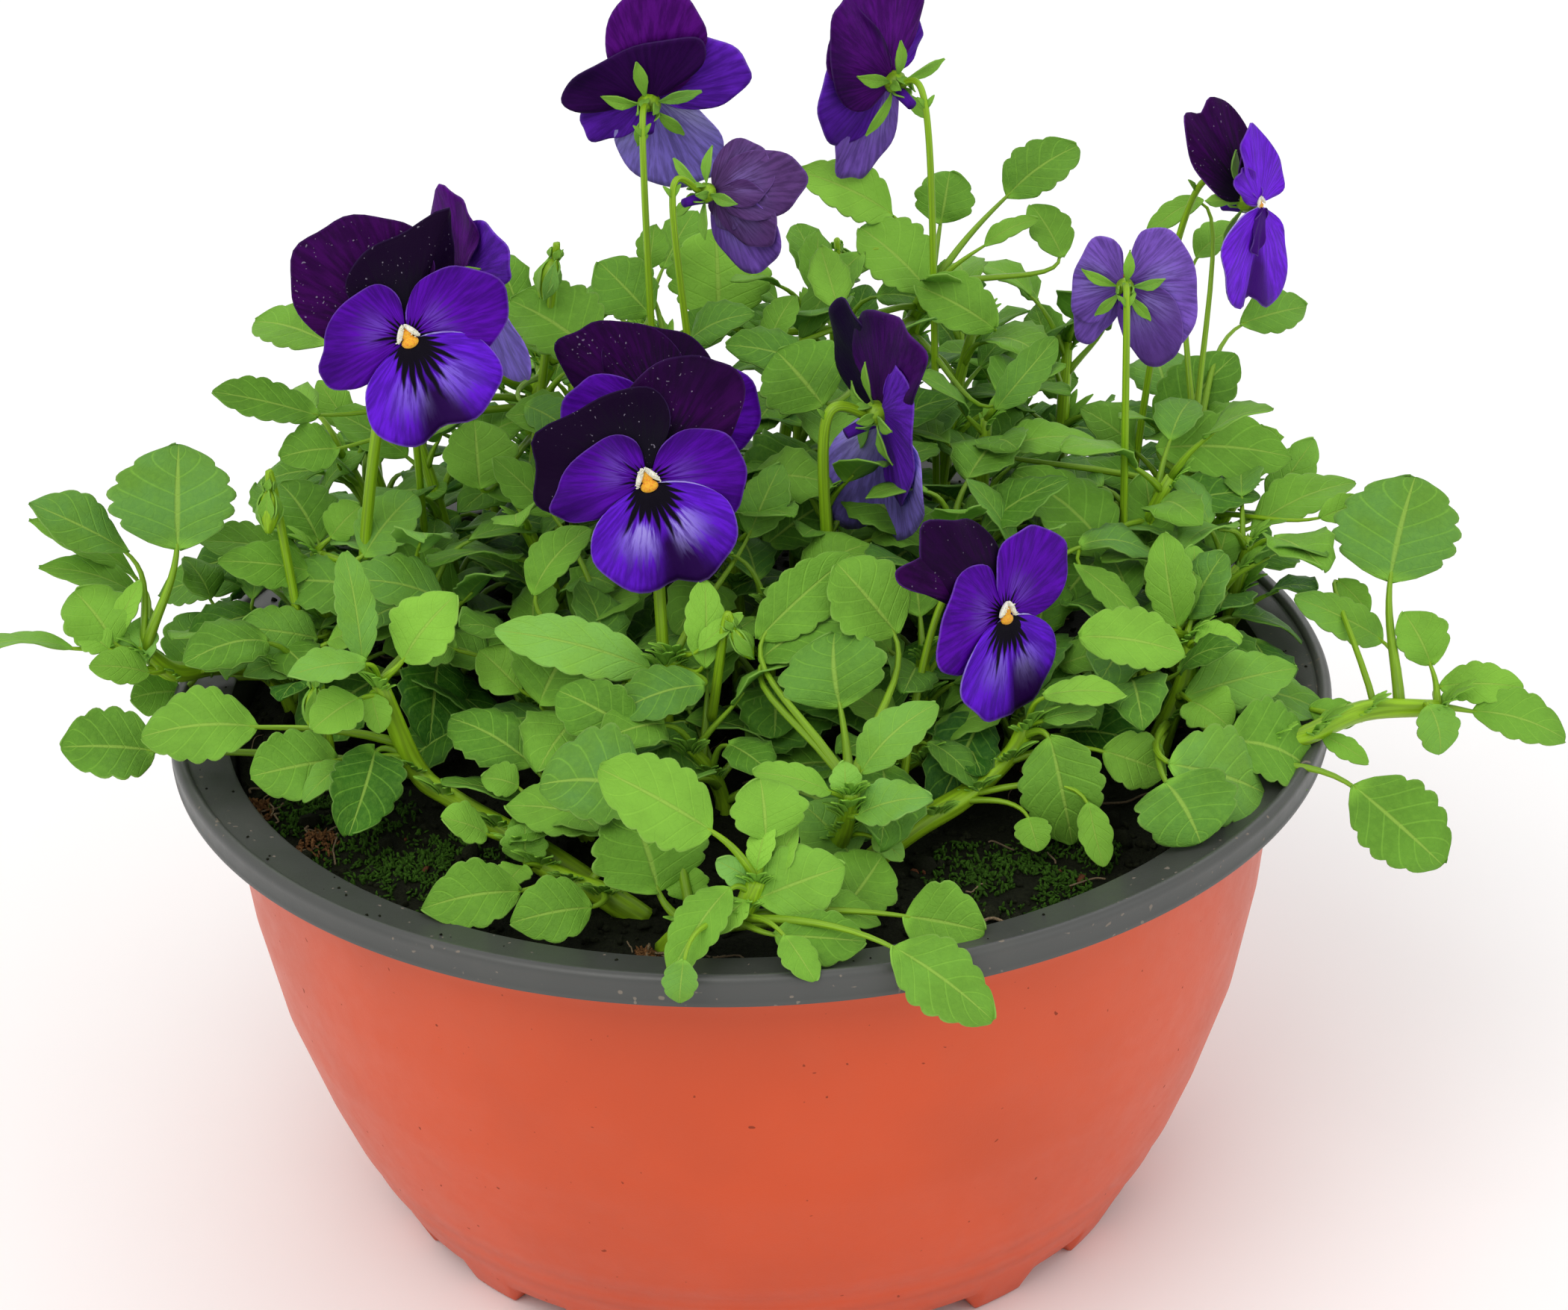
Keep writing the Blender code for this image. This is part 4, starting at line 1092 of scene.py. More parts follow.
# Leaves of each shoot: start and end of the blade, width, and tone from about 0, full-grown, to 1, young;
# then how slender a slender one is, and its roll in degrees.
LEAVES = {
    "shoot_left_far": (
        (-120, -2, 153, -119, 9, 173, 25, 0.2), (-131, 2, 151, -149, -4, 166, 12, 0.3, 0.6),
        (-132, 14, 139, -152, 10, 157, 9, 0.4, 0.7), (-130, 10, 135, -148, 4, 150, 9, 0.3, 0.7),
        (-143, -9, 134, -168, -19, 141, 11, 0.5, 0.5, 40), (-135, -6, 133, -143, 0, 144, 15, 0.4),
        (-136, -8, 133, -142, -6, 137, 8, 0.7), (-136, -4, 134, -129, -2, 146, 5, 0.8),
        (-130, -6, 128, -130, 0, 137, 8, 0.7), (-128, -8, 127, -138, -14, 134, 8, 0.7),
        (-124, 4, 116, -134, 0, 118, 12, 0.3), (-125, 14, 117, -120, 22, 127, 12, 0.3),
        (-118, 2, 122, -111, 8, 130, 9, 0.3)),
    "shoot_left_mid": (
        (-96, 12, 144, -116, 6, 152, 12, 0.2), (-93, 4, 144, -111, -2, 151, 10, 0.3),
        (-92, 14, 146, -100, 24, 157, 15, 0.2), (-89, 10, 149, -82, 12, 155, 9, 0.6),
        (-110, 26, 132, -132, 30, 128, 12, 0.2), (-92, -4, 132, -106, -10, 138, 12, 0.3),
        (-92, -10, 129, -106, -16, 132, 9, 0.3), (-81, 0, 149, -70, 8, 160, 13, 0.3),
        (-62, 4, 136, -81, 0, 149, 13, 0.2)),
    "shoot_left_front": (
        (-63, -14, 144, -81, -22, 156, 14, 0.4), (-101, -42, 131, -124, -46, 134, 15.5, 0.3),
        (-124, -34, 122, -142, -40, 127, 17.5, 0.2), (-78, -46, 147, -80, -38, 168, 8, 0.5),
        (-70, -44, 146, -60, -42, 160, 13, 0.7), (-77, -48, 148, -91, -56, 150, 8, 0.5),
        (-79, -48, 140, -88, -55, 137, 10, 0.5), (-77, -46, 140, -75, -50, 133, 6, 0.8),
        (-85, -46, 125, -101, -54, 126, 15, 0.3), (-77, -46, 127, -79, -66, 121, 14, -0.2),
        (-82, -50, 126, -91, -58, 124, 6, 0.5)),
    "shoot_rim_left": (
        (-53, -74, 122, -61, -78, 128, 9, 0.5), (-46, -77, 117, -45, -74, 124, 9, 0.6),
        (-46, -80, 118, -49, -86, 117, 7, 0.6), (-46, -90, 118, -65, -94, 119, 13, 0.3),
        (-32, -97, 118, -47, -102, 119, 12.5, 0.3), (-26, -74, 122, -49, -70, 128, 13, 0.3),
        (-47, -62, 126, -54, -62, 129, 8, 0.5)),
    "shoot_front": (
        (-8, -104, 138, -29, -106, 152, 16, 0.5), (-19, -99, 122, -23, -90, 137, 22, 0.2),
        (-21, -86, 137, -40, -88, 143, 20, 0.3), (2, -101, 134, 1, -95, 144, 14, 0.6),
        (-5, -108, 128, -18, -124, 121, 9, 0.5), (-14, -127, 124, -15, -130, 116, 6.5, 0.4),
        (-2, -108, 125, -9, -114, 122, 6, 0.7), (25, -120, 121, 44, -129, 111, 14, 0.3),
        (5, -118, 123, 10, -126, 118, 7, 0.5), (3, -113, 120, 20, -116, 119, 11, 0.3),
        (28, -106, 119, 43, -110, 118, 14, 0.3), (17, -97, 116, 26, -88, 122, 14, 0.3),
        (7, -104, 120, 24, -104, 118, 9, 0.4), (0, -106, 124, 17, -103, 129, 14, 0.6),
        (0, -104, 129, 2, -100, 138, 5, 0.9), (2, -103, 124, 8, -98, 135, 6, 0.9),
        (-1, -104, 127, -7, -106, 133, 5.5, 0.9), (-13, -99, 120, -14, -96, 126, 8, 0.6)),
    "shoot_mid_front": (
        (15, -85, 135, 1, -92, 144, 8, 0.5), (21, -80, 136, 34, -74, 150, 10, 0.6),
        (20, -86, 130, 34, -90, 137, 10, 0.6), (18, -84, 133, 18, -80, 139, 6, 0.8),
        (19, -80, 117, 11, -74, 127, 14, 0.3), (23, -82, 123, 29, -86, 121, 5, 0.6),
        (18, -62, 141, 16, -52, 153, 21, 0.1), (30, -50, 151, 18, -44, 164, 17, 0.2),
        (2, -46, 149, 20, -42, 166, 12, 0.2), (2, -48, 145, 22, -44, 156, 15, 0.3)),
    "shoot_front_right": (
        (60, -58, 131, 65, -70, 113, 16.5, 0.4), (67, -68, 121, 68, -78, 112, 6.5, 0.5),
        (59, -54, 138, 75, -56, 141, 8, 0.8), (59, -55, 133, 69, -56, 136, 6, 0.7),
        (71, -56, 126, 84, -58, 121, 12, 0.4), (55, -68, 118, 56, -74, 114, 7, 0.4)),
    "shoot_right_front": (
        (83, -66, 128, 106, -62, 119, 19.5, 0.3), (97, -50, 124, 117, -48, 116, 20, 0.2),
        (82, -70, 126, 88, -80, 118, 22, 0.2), (90, -34, 126, 114, -30, 131, 12, 0.4),
        (67, -44, 146, 89, -46, 144, 13, 0.5), (91, -38, 127, 97, -46, 126, 11, 0.5),
        (94, -26, 122, 123, -24, 121, 15, 0.3), (93, -26, 135, 103, -26, 136, 7, 0.7),
        (90, -22, 136, 86, -14, 154, 10, 0.6), (93, -20, 137, 95, -14, 151, 9, 0.7)),
    "shoot_right_far": (
        (137, -6, 137, 142, 5, 157, 25, 0.15), (136, -8, 124, 118, -12, 137, 9, 0.4),
        (144, -20, 124, 139, -14, 134, 11, 0.5), (145, -24, 121, 162, -28, 123, 8.5, 0.5),
        (151, -30, 118, 170, -36, 116, 11, 0.3), (141, -34, 122, 144, -40, 114, 10, 0.4),
        (118, -40, 119, 127, -46, 116, 5, 0.5), (122, -56, 116, 139, -66, 101, 17, 0.3),
        (117, -30, 120, 127, -34, 120, 7, 0.5), (127, 0, 135, 133, -6, 130, 6, 0.6)),
    "shoot_right_back": (
        (110, 14, 141, 133, 20, 151, 11, 0.4), (117, 34, 137, 127, 40, 151, 9, 0.4),
        (91, 30, 154, 121, 30, 154, 15, 0.1), (124, 8, 146, 134, 8, 150, 6, 0.6),
        (78, 2, 142, 61, 10, 161, 19, 0.1), (88, 10, 139, 88, 18, 154, 12, 0.2),
        (94, 48, 148, 111, 56, 166, 15, 0.1), (114, 66, 168, 131, 70, 170, 10, 0.4),
        (104, 58, 201, 90, 54, 196, 6, 0.5), (103, 62, 186, 113, 64, 193, 9, 0.4),
        (46, 4, 151, 61, 4, 158, 6, 0.3), (55, 18, 160, 76, 22, 165, 10, 0.3),
        (69, -14, 148, 85, -24, 138, 7, 0.4)),
    "shoot_centre": (
        (-20, -40, 140, -50, -46, 155, 12, 0.9), (-9, -50, 141, -27, -58, 142, 12, 0.2),
        (-43, -44, 135, -34, -36, 147, 18, 0.1), (-44, -26, 151, -33, -20, 164, 10, 0.3),
        (-47, -38, 135, -55, -34, 143, 11, 0.6), (-61, -22, 137, -70, -24, 141, 10, 0.3),
        (-40, 0, 157, -52, 2, 170, 9, 0.2), (-23, -60, 136, -37, -56, 146, 13, 0.2),
        (1, -10, 155, 8, -4, 169, 10, 0.3), (-9, -44, 142, -7, -36, 158, 8, 0.7),
        (-10, -44, 146, -2, -42, 154, 5, 0.8)),
    "shoot_back": (
        (-4, 66, 173, -3, 76, 192, 22, 0.6), (36, 72, 195, 17, 68, 208, 13, 0.8),
        (43, 58, 182, 28, 64, 195, 18, 0.4), (29, 60, 191, 14, 50, 176, 10, 0.3),
        (62, 78, 196, 77, 82, 208, 12, 0.3), (57, 46, 177, 40, 50, 187, 13, 0.2),
        (74, 70, 184, 68, 76, 195, 10, 0.2), (56, 66, 189, 68, 68, 195, 5, 0.5),
        (55, 20, 169, 69, 24, 183, 8, 0.3), (7, 40, 178, 12, 44, 188, 8, 0.4),
        (18, 16, 173, 8, 24, 183, 20, 0.1), (47, 76, 191, 49, 80, 202, 13, 0.3)),
    "shoot_back_left": (
        (-31, 26, 183, -48, 34, 194, 20, 0.2), (-19, 52, 181, -30, 58, 192, 14, 0.2),
        (-19, 62, 188, -17, 66, 197, 7, 0.4), (-56, 8, 160, -57, 16, 173, 15, 0.3),
        (-87, 22, 189, -104, 30, 192, 14, 0.3), (-90, 18, 174, -111, 12, 183, 10, 0.2),
        (-86, 14, 168, -98, 10, 168, 11, 0.2), (-46, 20, 174, -35, 14, 171, 9, 0.3)),
}


def stem(skin, path, source, thick=2.8):
    """A ribbed stem with a slight swelling at its joints."""
    count = len(path)
    radii = thick * (1 - 0.35 * np.linspace(0, 1, count))
    radii = radii * (1 + 0.10 * np.sin(np.linspace(0, 1, count) * 9 + source.uniform(0, 6)))
    skin.tube(path, radii, 12, source.uniform(0.6, 1.0), STEM_SLOT, 0.05)


def leafy(skin, name, slot, *more):
    """Makes a piece of leaves and stems; their finishes are the skin's slots 0 to 2, and more come after."""
    item = skin.make(name, [finish(look) for look in ("leaf", "leaf underside", "stem", *more)])
    return item


SHOOT_STEPS = 6             # steps of a stem between two of its points
STIPULES_AT = (0.35, 0.55, 0.75, 0.98)      # shares of a stem
SHOOT_SEED, FILLER_SEED, FLOWER_SEED, BUD_SEED = 100, 300, 500, 700


class VIOLA_OT_shoots(Operator):
    """Grows the leafy shoots on their stems"""
    bl_idname = "viola.shoots"
    bl_label = "Shoots"

    def execute(self, context):
        for number, (name, points) in enumerate(STEMS.items()):
            source = random.Random(SHOOT_SEED + number)
            skin = Skin()
            path = smooth_path(points, SHOOT_STEPS)
            stem(skin, path, source)
            for blade in LEAVES[name]:
                width, tone, slender, roll = (*blade[6:], 0, 0)[:4]
                tone = 0.30 + 0.75 * tone + source.uniform(-0.12, 0.12)
                leaf = Leaf(source, blade[:3], blade[3:6], width * 1.1, tone, roll + source.uniform(-18, 18),
                            point=source.uniform(0, 0.7), narrow=slender)
                leaf.grow(skin, nearest_below(path, leaf.base))
            for share in STIPULES_AT:
                spot = path[round(share * (len(path) - 1))]
                outward = (spot[0], spot[1] - 30, 0)
                stipules(skin, spot, outward, source.uniform(6, 10), source, source.uniform(0.7, 1.0))
            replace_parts(leafy(skin, name + "_leaves", "leaf_green"), name)
        return {"FINISHED"}


# Low shoots between the others: foot, height over the soil and number of leaves.
FILLERS = (
    (-78, 44, 44, 12), (-58, 78, 44, 12), (-24, 92, 50, 13), (8, 88, 56, 13), (12, 58, 66, 14),
    (48, 96, 44, 12), (74, 76, 50, 12), (92, 50, 40, 11), (-96, 26, 30, 10), (-64, 0, 32, 12),
    (-24, 22, 56, 14), (22, 34, 62, 14), (52, 30, 54, 13), (64, -6, 36, 12), (4, -18, 34, 12),
    (36, -30, 28, 11), (-48, -18, 20, 11), (-6, -48, 18, 9), (-64, 30, 54, 13), (76, -26, 20, 9),
    (104, 6, 34, 11), (-14, 44, 64, 14), (44, 60, 64, 14), (-88, -4, 20, 9), (-38, 8, 44, 12),
    (18, 8, 46, 12), (38, -4, 42, 12), (-40, 92, 40, 11), (24, 76, 60, 13), (-80, 62, 40, 11),
    (60, 88, 46, 11), (100, 36, 34, 10), (-2, 2, 46, 12), (-100, 6, 18, 8), (80, 14, 46, 12),
    (-44, 48, 60, 13), (26, -46, 14, 8), (54, -30, 18, 10), (-28, -38, 18, 9), (90, -6, 30, 10),
    (-34, -58, 9, 7),
)
FILLER_LIMIT = 122          # leaf tips of the low shoots stay within this radius
FILLER_STEPS = 14
GOLDEN_TURN = 2.4


def filler_leaf(spot, turn, share, source):
    """A leaf of a low shoot: it leaves the stem at a turn, and droops lower down and rises near the tip."""
    outward = np.array((*polar(1, turn), 0))
    reach = source.uniform(15, 25) * (1.12 - 0.35 * share)
    gap = source.uniform(9, 20) * (1.2 - 0.7 * share)
    climb = 0.35 + 0.65 * share + source.uniform(-0.2, 0.4)
    base = spot + outward * gap * 0.8 + UP * gap * climb
    rise = math.radians(source.uniform(-40, 15) + 45 * share)
    tip = base + (outward * math.cos(rise) + UP * math.sin(rise)) * reach
    away = np.hypot(tip[0], tip[1])
    if away > FILLER_LIMIT:
        tip[:2] *= FILLER_LIMIT / away
    normal = UP * math.cos(rise) - outward * math.sin(rise) + LEAF_FACING * source.uniform(0, 0.8)
    # leaves low on the stem get a low tone: the dark green of old leaves, and also painted shade deep in the
    # foliage
    width, tone = reach * source.uniform(0.55, 0.9), source.uniform(-0.05, 0.30) + 0.5 * share * share
    return Leaf(source, base, tip, width, tone, source.uniform(-25, 25), normal=normal, fine=False,
                point=source.uniform(0, 0.8))


class VIOLA_OT_fillers(Operator):
    """Grows the lower shoots that fill the bowl between the main ones"""
    bl_idname = "viola.fillers"
    bl_label = "Low shoots"

    def execute(self, context):
        for number, (x, y, height, count) in enumerate(FILLERS):
            source = random.Random(FILLER_SEED + number)
            skin = Skin()
            lean = np.array((x, y, 0)) * 0.10 + np.array((source.gauss(0, 4), source.gauss(0, 4), 0))
            foot = np.array((x, y, soil_height(x, y) - 1))
            path = bezier((foot, foot + UP * 0.5 * height, foot + lean + UP * height), FILLER_STEPS)
            stem(skin, path, source, 1.9)
            turn = source.uniform(0, 6.28)
            for k in range(count):
                turn += GOLDEN_TURN
                share = 0.10 + 0.90 * (k + 0.5) / count
                spot = path[round(share * (FILLER_STEPS - 1))]
                filler_leaf(spot, turn, share, source).grow(skin, spot)
            for share in (0.6, 1.0):
                spot = path[round(share * (FILLER_STEPS - 1))]
                # the lower comb of lobes takes a darker tone: painted shade low in the foliage
                stipules(skin, spot, (x, y - 20, 0), source.uniform(5, 9), source, 0.35 + 0.5 * share)
            leafy(skin, f"low_shoot_{number + 1:02d}", "leaf_green")
        return {"FINISHED"}


# ---------------------------------------------------------------- flowers
PETAL_ROWS, PETAL_COLUMNS = 12, 41
FAN = math.radians(160)     # half the angle that a petal's outline turns through
SEPALS = 5
REACH_UNIT = 25.0           # the reach that petal finishes count as 1


def bent(angle, reach, width, **bends):
    """One petal: its turn from the flower's right, its reach and width, and how it is bent (see Petal)."""
    return {"angle": angle, "reach": reach, "width": width, **bends}


# The common shape of each petal.
PETALS = {
    "upper_left": bent(126, 25, 26, tilt=-4, bend=18, level=-0.3),
    "upper_right": bent(54, 25, 26, tilt=-6, bend=18, level=-0.9),
    "side_left": bent(178, 20.5, 20, tilt=4, bend=14, level=0.6, skew=-0.1),
    "side_right": bent(2, 20.5, 20, tilt=4, bend=14, level=0.9, skew=0.1),
    "side_flap": bent(-90, 12, 6),
    "lip": bent(-90, 23.5, 28, tilt=2, bend=10, level=1.5, notch=0.05),
}
# Each group of petals: its members and its slot. With a space for the underscore, the slot names its finish.
GROUPS = {
    "upper_petals": (("upper_right", "upper_left"), "upper_petal"),
    "side_petals": (("side_left", "side_right", "side_flap"), "side_petal"),
    "lip_petal": (("lip",), "lip_petal"),
}
# Petals that only the flowers named in SPECIAL have.
EXTRAS = ("side_flap",)
# Petals whose face or back has another finish than the usual one.
OTHER_FACES = {
    "flower_04_lip_petal": "quiet lip petal", "flower_05_lip_petal": "quiet lip petal",
    "flower_07_lip_petal": "quiet lip petal", "flower_09_lip_petal": "quiet lip petal",
    "flower_11_lip_petal": "plain petal", "flower_11_side_petals": "plain petal",
    "flower_08_side_petals": "plain petal",
}
OTHER_BACKS = {
    "flower_02_lip_petal": "faded petal back", "flower_03_upper_petals": "dusty petal back",
    "flower_03_side_petals": "dusty petal back", "flower_03_lip_petal": "faded petal back",
    "flower_10_upper_petals": "faded petal back", "flower_10_side_petals": "faded petal back",
    "flower_10_lip_petal": "faded petal back",
}
# Flowers on stout stalks.
STOUT = ("flower_04", "flower_06", "flower_08")
# Flowers whose petals lie flat.
FLAT = ("flower_01", "flower_02", "flower_05", "flower_08", "flower_09", "flower_10", "flower_11")
FLAT_BENDS = {"tilt": 0, "bend": 2}
# Sizes of the eyes that differ, as shares of the common one.
EYE_SIZES = {"flower_11": 0.6}
# Yellow pads of the eye, as half sizes and middles, and half sizes of the white cheeks and hairs beside them.
EYE_PADS = (((1.85, 1.25, 0.7), (0.0, -1.15, 1.6)), ((1.2, 1.7, 0.5), (0.0, 0.5, 1.5)))
CHEEK, HAIR = (0.62, 2.1, 0.7), (0.16, 0.16, 0.55)
BEARD_TUFTS = 30            # on each side
STOUT_RADIUS, SLIM_RADIUS = 1.15, 0.72
# Places along the flower's axis and radii of the cup's rings.
CUP_RINGS = np.array([(-5.0, 1.4), (-4.2, 2.2), (-2.8, 2.7), (-1.2, 2.4), (-0.4, 1.6)])
STALK_STEPS, JOINT_STEP = 40, 26
# How far a flower's head hangs away from its cup's place in the frame.
SHIFTS = {"flower_03": (-8, -4, 6)}

# What sets single flowers apart from the common shape.
SPECIAL = {
    "flower_01": {
        "upper_left": bent(110, 29, 22, skew=-0.07, dusk=0.05, level=-0.3),
        "upper_right": bent(80, 14.4, 36, skew=-0.08, dusk=0.94, level=-2.2),
        "side_left": bent(160, 23.8, 19.4, dusk=0.1), "side_right": bent(0, 18, 14.4, skew=0.25, notch=0.05),
        "lip": bent(-86, 24.5, 24, skew=0.09, notch=-0.03, dusk=0.0)},
    "flower_02": {
        "upper_left": bent(57, 28.5, 28, skew=-0.33, dusk=0.35),
        "upper_right": bent(12, 22.5, 20.5, skew=-0.66, dusk=0.75, level=-1.4),
        "side_left": bent(108, 14, 10, dusk=0.5), "side_right": bent(-17, 19.4, 23, dusk=0.7),
        "lip": bent(-74, 26, 16.5, dusk=0.3)},
    "flower_03": {
        "upper_left": bent(146, 26, 18, tilt=25, bend=5, dusk=0.3),
        "upper_right": bent(122, 18, 18, tilt=25, bend=5, level=-0.1, dusk=0.3),
        "side_left": bent(185, 20, 16, tilt=25, dusk=0.5), "side_right": bent(240, 11, 9, tilt=25, dusk=0.5),
        "lip": bent(218, 24.5, 20, tilt=25, dusk=0.5)},
    "flower_04": {
        "upper_left": bent(105, 28.9, 30.6, skew=-0.08, notch=0.02, bend=6, tilt=-9, level=-1.3, dusk=0.05),
        "upper_right": bent(64, 22.8, 29, skew=0.22, notch=-0.17, bend=4, level=0.3, dusk=1.0,
                            wings=(0, -76)),
        "side_left": bent(147, 18.1, 22.4, skew=-0.41, notch=0.10, dusk=0.5),
        "side_right": bent(6, 22.2, 19.8, skew=0.05, notch=-0.02, dusk=0.3),
        "lip": bent(-86, 23.3, 30.3, skew=0.05, pleat=0.07, pleat_depth=2.6, notch=0.08, dusk=0.05)},
    "flower_05": {
        "upper_left": bent(70, 14, 12, dusk=0.5),
        "upper_right": bent(62, 16.2, 27, skew=-0.35, notch=-0.24, dusk=0.35),
        "side_left": bent(139, 21.5, 15.8, dusk=0.2), "side_right": bent(10, 15, 14),
        "lip": bent(-112, 27.1, 18.3, skew=0.31, notch=0.08, dusk=0.2)},
    "flower_06": {
        "upper_left": bent(122, 20, 33, skew=-0.27, notch=-0.20, bend=4, level=0.4, dusk=1.0),
        "upper_right": bent(50, 28.5, 23.2, skew=0.15, notch=0.07, bend=6, dusk=0.75),
        "side_left": bent(146, 17.9, 18.3, skew=-0.49, notch=0.05, dusk=0.7),
        "side_right": bent(-13, 20.3, 20.1, skew=0.03, dusk=0.5),
        "lip": bent(-92, 23.9, 30.4, pleat=0.0, pleat_depth=2.6, notch=0.08, dusk=0.1)},
    "flower_07": {
        "upper_left": bent(106, 26.8, 22.9, skew=-0.27, notch=0.04, dusk=0.6),
        "upper_right": bent(79, 20.7, 23.8, skew=-0.14, dusk=0.8),
        "side_left": bent(175, 22, 21.8, skew=0.11, dusk=0.05),
        "side_right": bent(5, 21.1, 21.3, skew=0.09, dusk=0.1)},
    "flower_08": {
        "upper_right": bent(36, 25, 22, dusk=1.0),
        "upper_left": bent(94, 28.3, 28.8, skew=-0.55, notch=0.04, dusk=0.85, level=-1.2),
        "side_left": bent(193, 15.5, 35, skew=0.08, dusk=0.1, level=-1.5),
        "side_right": bent(20, 17, 16, dusk=0.6),
        "lip": bent(-96, 31, 33.5, skew=-0.35, notch=0.16, dusk=0.0, level=-0.3, wings=(-52, 0))},
    "flower_09": {
        "upper_left": bent(128, 28.7, 14.7, skew=-0.53, dusk=0.75, level=-0.9),
        "upper_right": bent(129, 29.5, 19.3, skew=-0.12, notch=-0.08, cup=16, dusk=0.9, level=0.1),
        "side_left": bent(174, 19.4, 23.9, skew=-0.27, notch=0.05, dusk=0.2),
        "side_right": bent(48, 23.1, 21.6, skew=0.11, notch=0.04, dusk=0.0),
        "lip": bent(-80, 23.5, 29.5, skew=0.10, pleat=-0.12, pleat_depth=2.6, notch=0.02, dusk=0.0)},
    "flower_10": {
        "upper_left": bent(169, 20.3, 36.9, skew=-0.25, dusk=0.1),
        "upper_right": bent(6, 14.8, 27.7, dusk=0.2), "side_left": bent(165, 15, 15, dusk=0.1),
        "side_right": bent(-33, 19.3, 16.2, skew=0.48, dusk=0.3),
        "lip": bent(-137, 27.1, 18.2, skew=-0.25, dusk=0.9, level=-1.4)},
    "flower_11": {
        "upper_left": bent(99, 27.5, 20, tilt=-20, notch=0.14, dusk=0.35, level=-2.5),
        "upper_right": bent(84, 17, 12, dusk=0.6, level=-0.4),
        "side_left": bent(120, 13, 7, level=0.9, dusk=0.7),
        "side_flap": bent(-114, 12, 5, level=2.2, dusk=1.0),
        "side_right": bent(56, 15, 19, skew=-0.6, notch=-0.10, dusk=0.2),
        "lip": bent(-114, 26.4, 27.6, skew=-0.24, pleat=0.03, pleat_depth=2.4, notch=0.20, dusk=0.0)},
}


class Petal:
    """One petal in its flower's own plane: x to the flower's right, y up and z outwards.

    reach and width give its outline, notch dents its margin in the middle or, below 0, draws it to a point,
    and skew sweeps it to one side. tilt leans it forwards at the throat, bend curls it back along its length,
    cup curls its sides, wings turn its left and right halves about its middle, level lifts all of it, and
    pleat with pleat_depth sinks a groove at a share of its fan. dusk darkens its outer part, and above 0.6
    all of it.
    """

    RUFFLE = 0.5            # height of the waves in the margin
    CLAW = 1.0              # the throat's distance from the flower's middle

    def __init__(self, angle, reach, width, tilt=0.0, bend=0.0, cup=0.0, level=0.0, notch=0.0, skew=0.0,
                 pleat=0.0, pleat_depth=0.0, dusk=0.4, wings=(0, 0), seed=0):
        self.angle, self.reach, self.width = math.radians(angle), reach, width
        self.tilt, self.bend, self.cup = math.radians(tilt), math.radians(bend), math.radians(cup)
        self.level, self.notch, self.skew = level, notch, skew
        self.pleat, self.pleat_depth = pleat, pleat_depth
        self.wings = [math.radians(w) for w in wings]
        self.dusk, self.seed = dusk, seed

    def flat(self):
        """The flat petal's points, with their shares of the fan and of the way out, and the fan's angles."""
        fan = np.linspace(-1, 1, PETAL_COLUMNS)
        phi = fan * FAN
        wobble = 1 + 0.018 * np.sin(3 * phi + self.seed) + 0.012 * np.sin(7 * phi + 2 * self.seed)
        wobble = wobble - self.notch * np.exp(-(phi / 0.30) ** 2)
        half = (self.reach - self.CLAW) / 2
        margin = np.stack([self.width / 2 * np.sin(phi), self.CLAW + half + half * np.cos(phi)], -1)
        margin *= wobble[:, None]
        margin[:, 0] += self.skew * margin[:, 1] ** 2 / self.reach
        start = np.stack([1.1 * np.sin(fan * 1.3), 0.6 + 0.5 * np.cos(fan * 1.3)], -1)
        share = np.linspace(0, 1, PETAL_ROWS)[:, None, None] ** 0.85
        points = start * (1 - share) + margin * share
        return points, fan[None, :] + 0 * share[..., 0], share[..., 0] + 0 * fan[None, :], phi

    def shaped(self):
        """Points in the flower's frame, with places and dusk for the material."""
        points, fan, share, phi = self.flat()
        x, y = points[..., 0], points[..., 1]
        groove = np.exp(-((fan - self.pleat) / 0.07) ** 2)
        whole = min(1.0, max(0.0, self.dusk - 0.6) * 2.5)
        outer = blend(0.35, 0.9, share) * (0.7 + 0.3 * np.cos(phi * 2 + self.seed))
        dusk = self.dusk * np.maximum(outer, whole)
        if self.pleat_depth:
            # beside the pleat's groove the dusk deepens: partly the lip's own dark pigment, partly painted
            # shade in the crease
            wedge = np.exp(-((fan - self.pleat + 0.07) / (0.03 + 0.15 * share)) ** 2)
            dusk = dusk + 1.5 * blend(0.34, 0.66, share) * wedge
        away, around = np.hypot(x, y), np.arctan2(x, y)
        z = self.RUFFLE * share ** 3 * np.sin(5 * phi + self.seed * 1.7)
        z = z + 0.25 * np.sin(x * 0.5 + self.seed) * np.sin(y * 0.4) * share
        z = z - self.pleat_depth * share ** 1.5 * groove
        if any(self.wings):
            middle = x[:, PETAL_COLUMNS // 2, None]
            wing = np.where(x < middle, *self.wings)
            z, x = z + np.abs(x - middle) * np.sin(wing), middle + (x - middle) * np.cos(wing)
        if self.cup:
            radius = self.width / 2 / self.cup
            z, x = z - radius * (1 - np.cos(x / radius)), radius * np.sin(x / radius)
        if self.bend:
            radius = self.reach / self.bend
            turn = y / radius
            y, z = (radius + z) * np.sin(turn), (radius + z) * np.cos(turn) - radius
        c, s = math.cos(self.tilt), math.sin(self.tilt)
        y, z = y * c - z * s, z * c + y * s
        along = np.array(polar(1, self.angle))
        across = np.array((along[1], -along[0]))
        flat = x[..., None] * across + y[..., None] * along
        shaped = np.concatenate([flat, z[..., None] + self.level], -1)
        places = np.stack([around / math.pi, away / REACH_UNIT, share], -1)
        return shaped, places, np.clip(dusk, 0, 1)


def cad_points(node):
    """A CAD node's corners, each once, in millimetres."""
    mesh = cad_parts[node].data
    points = np.empty(len(mesh.vertices) * 3)
    mesh.vertices.foreach_get("co", points)
    return np.unique(np.round(points.reshape(-1, 3) / MM, 3), axis=0)


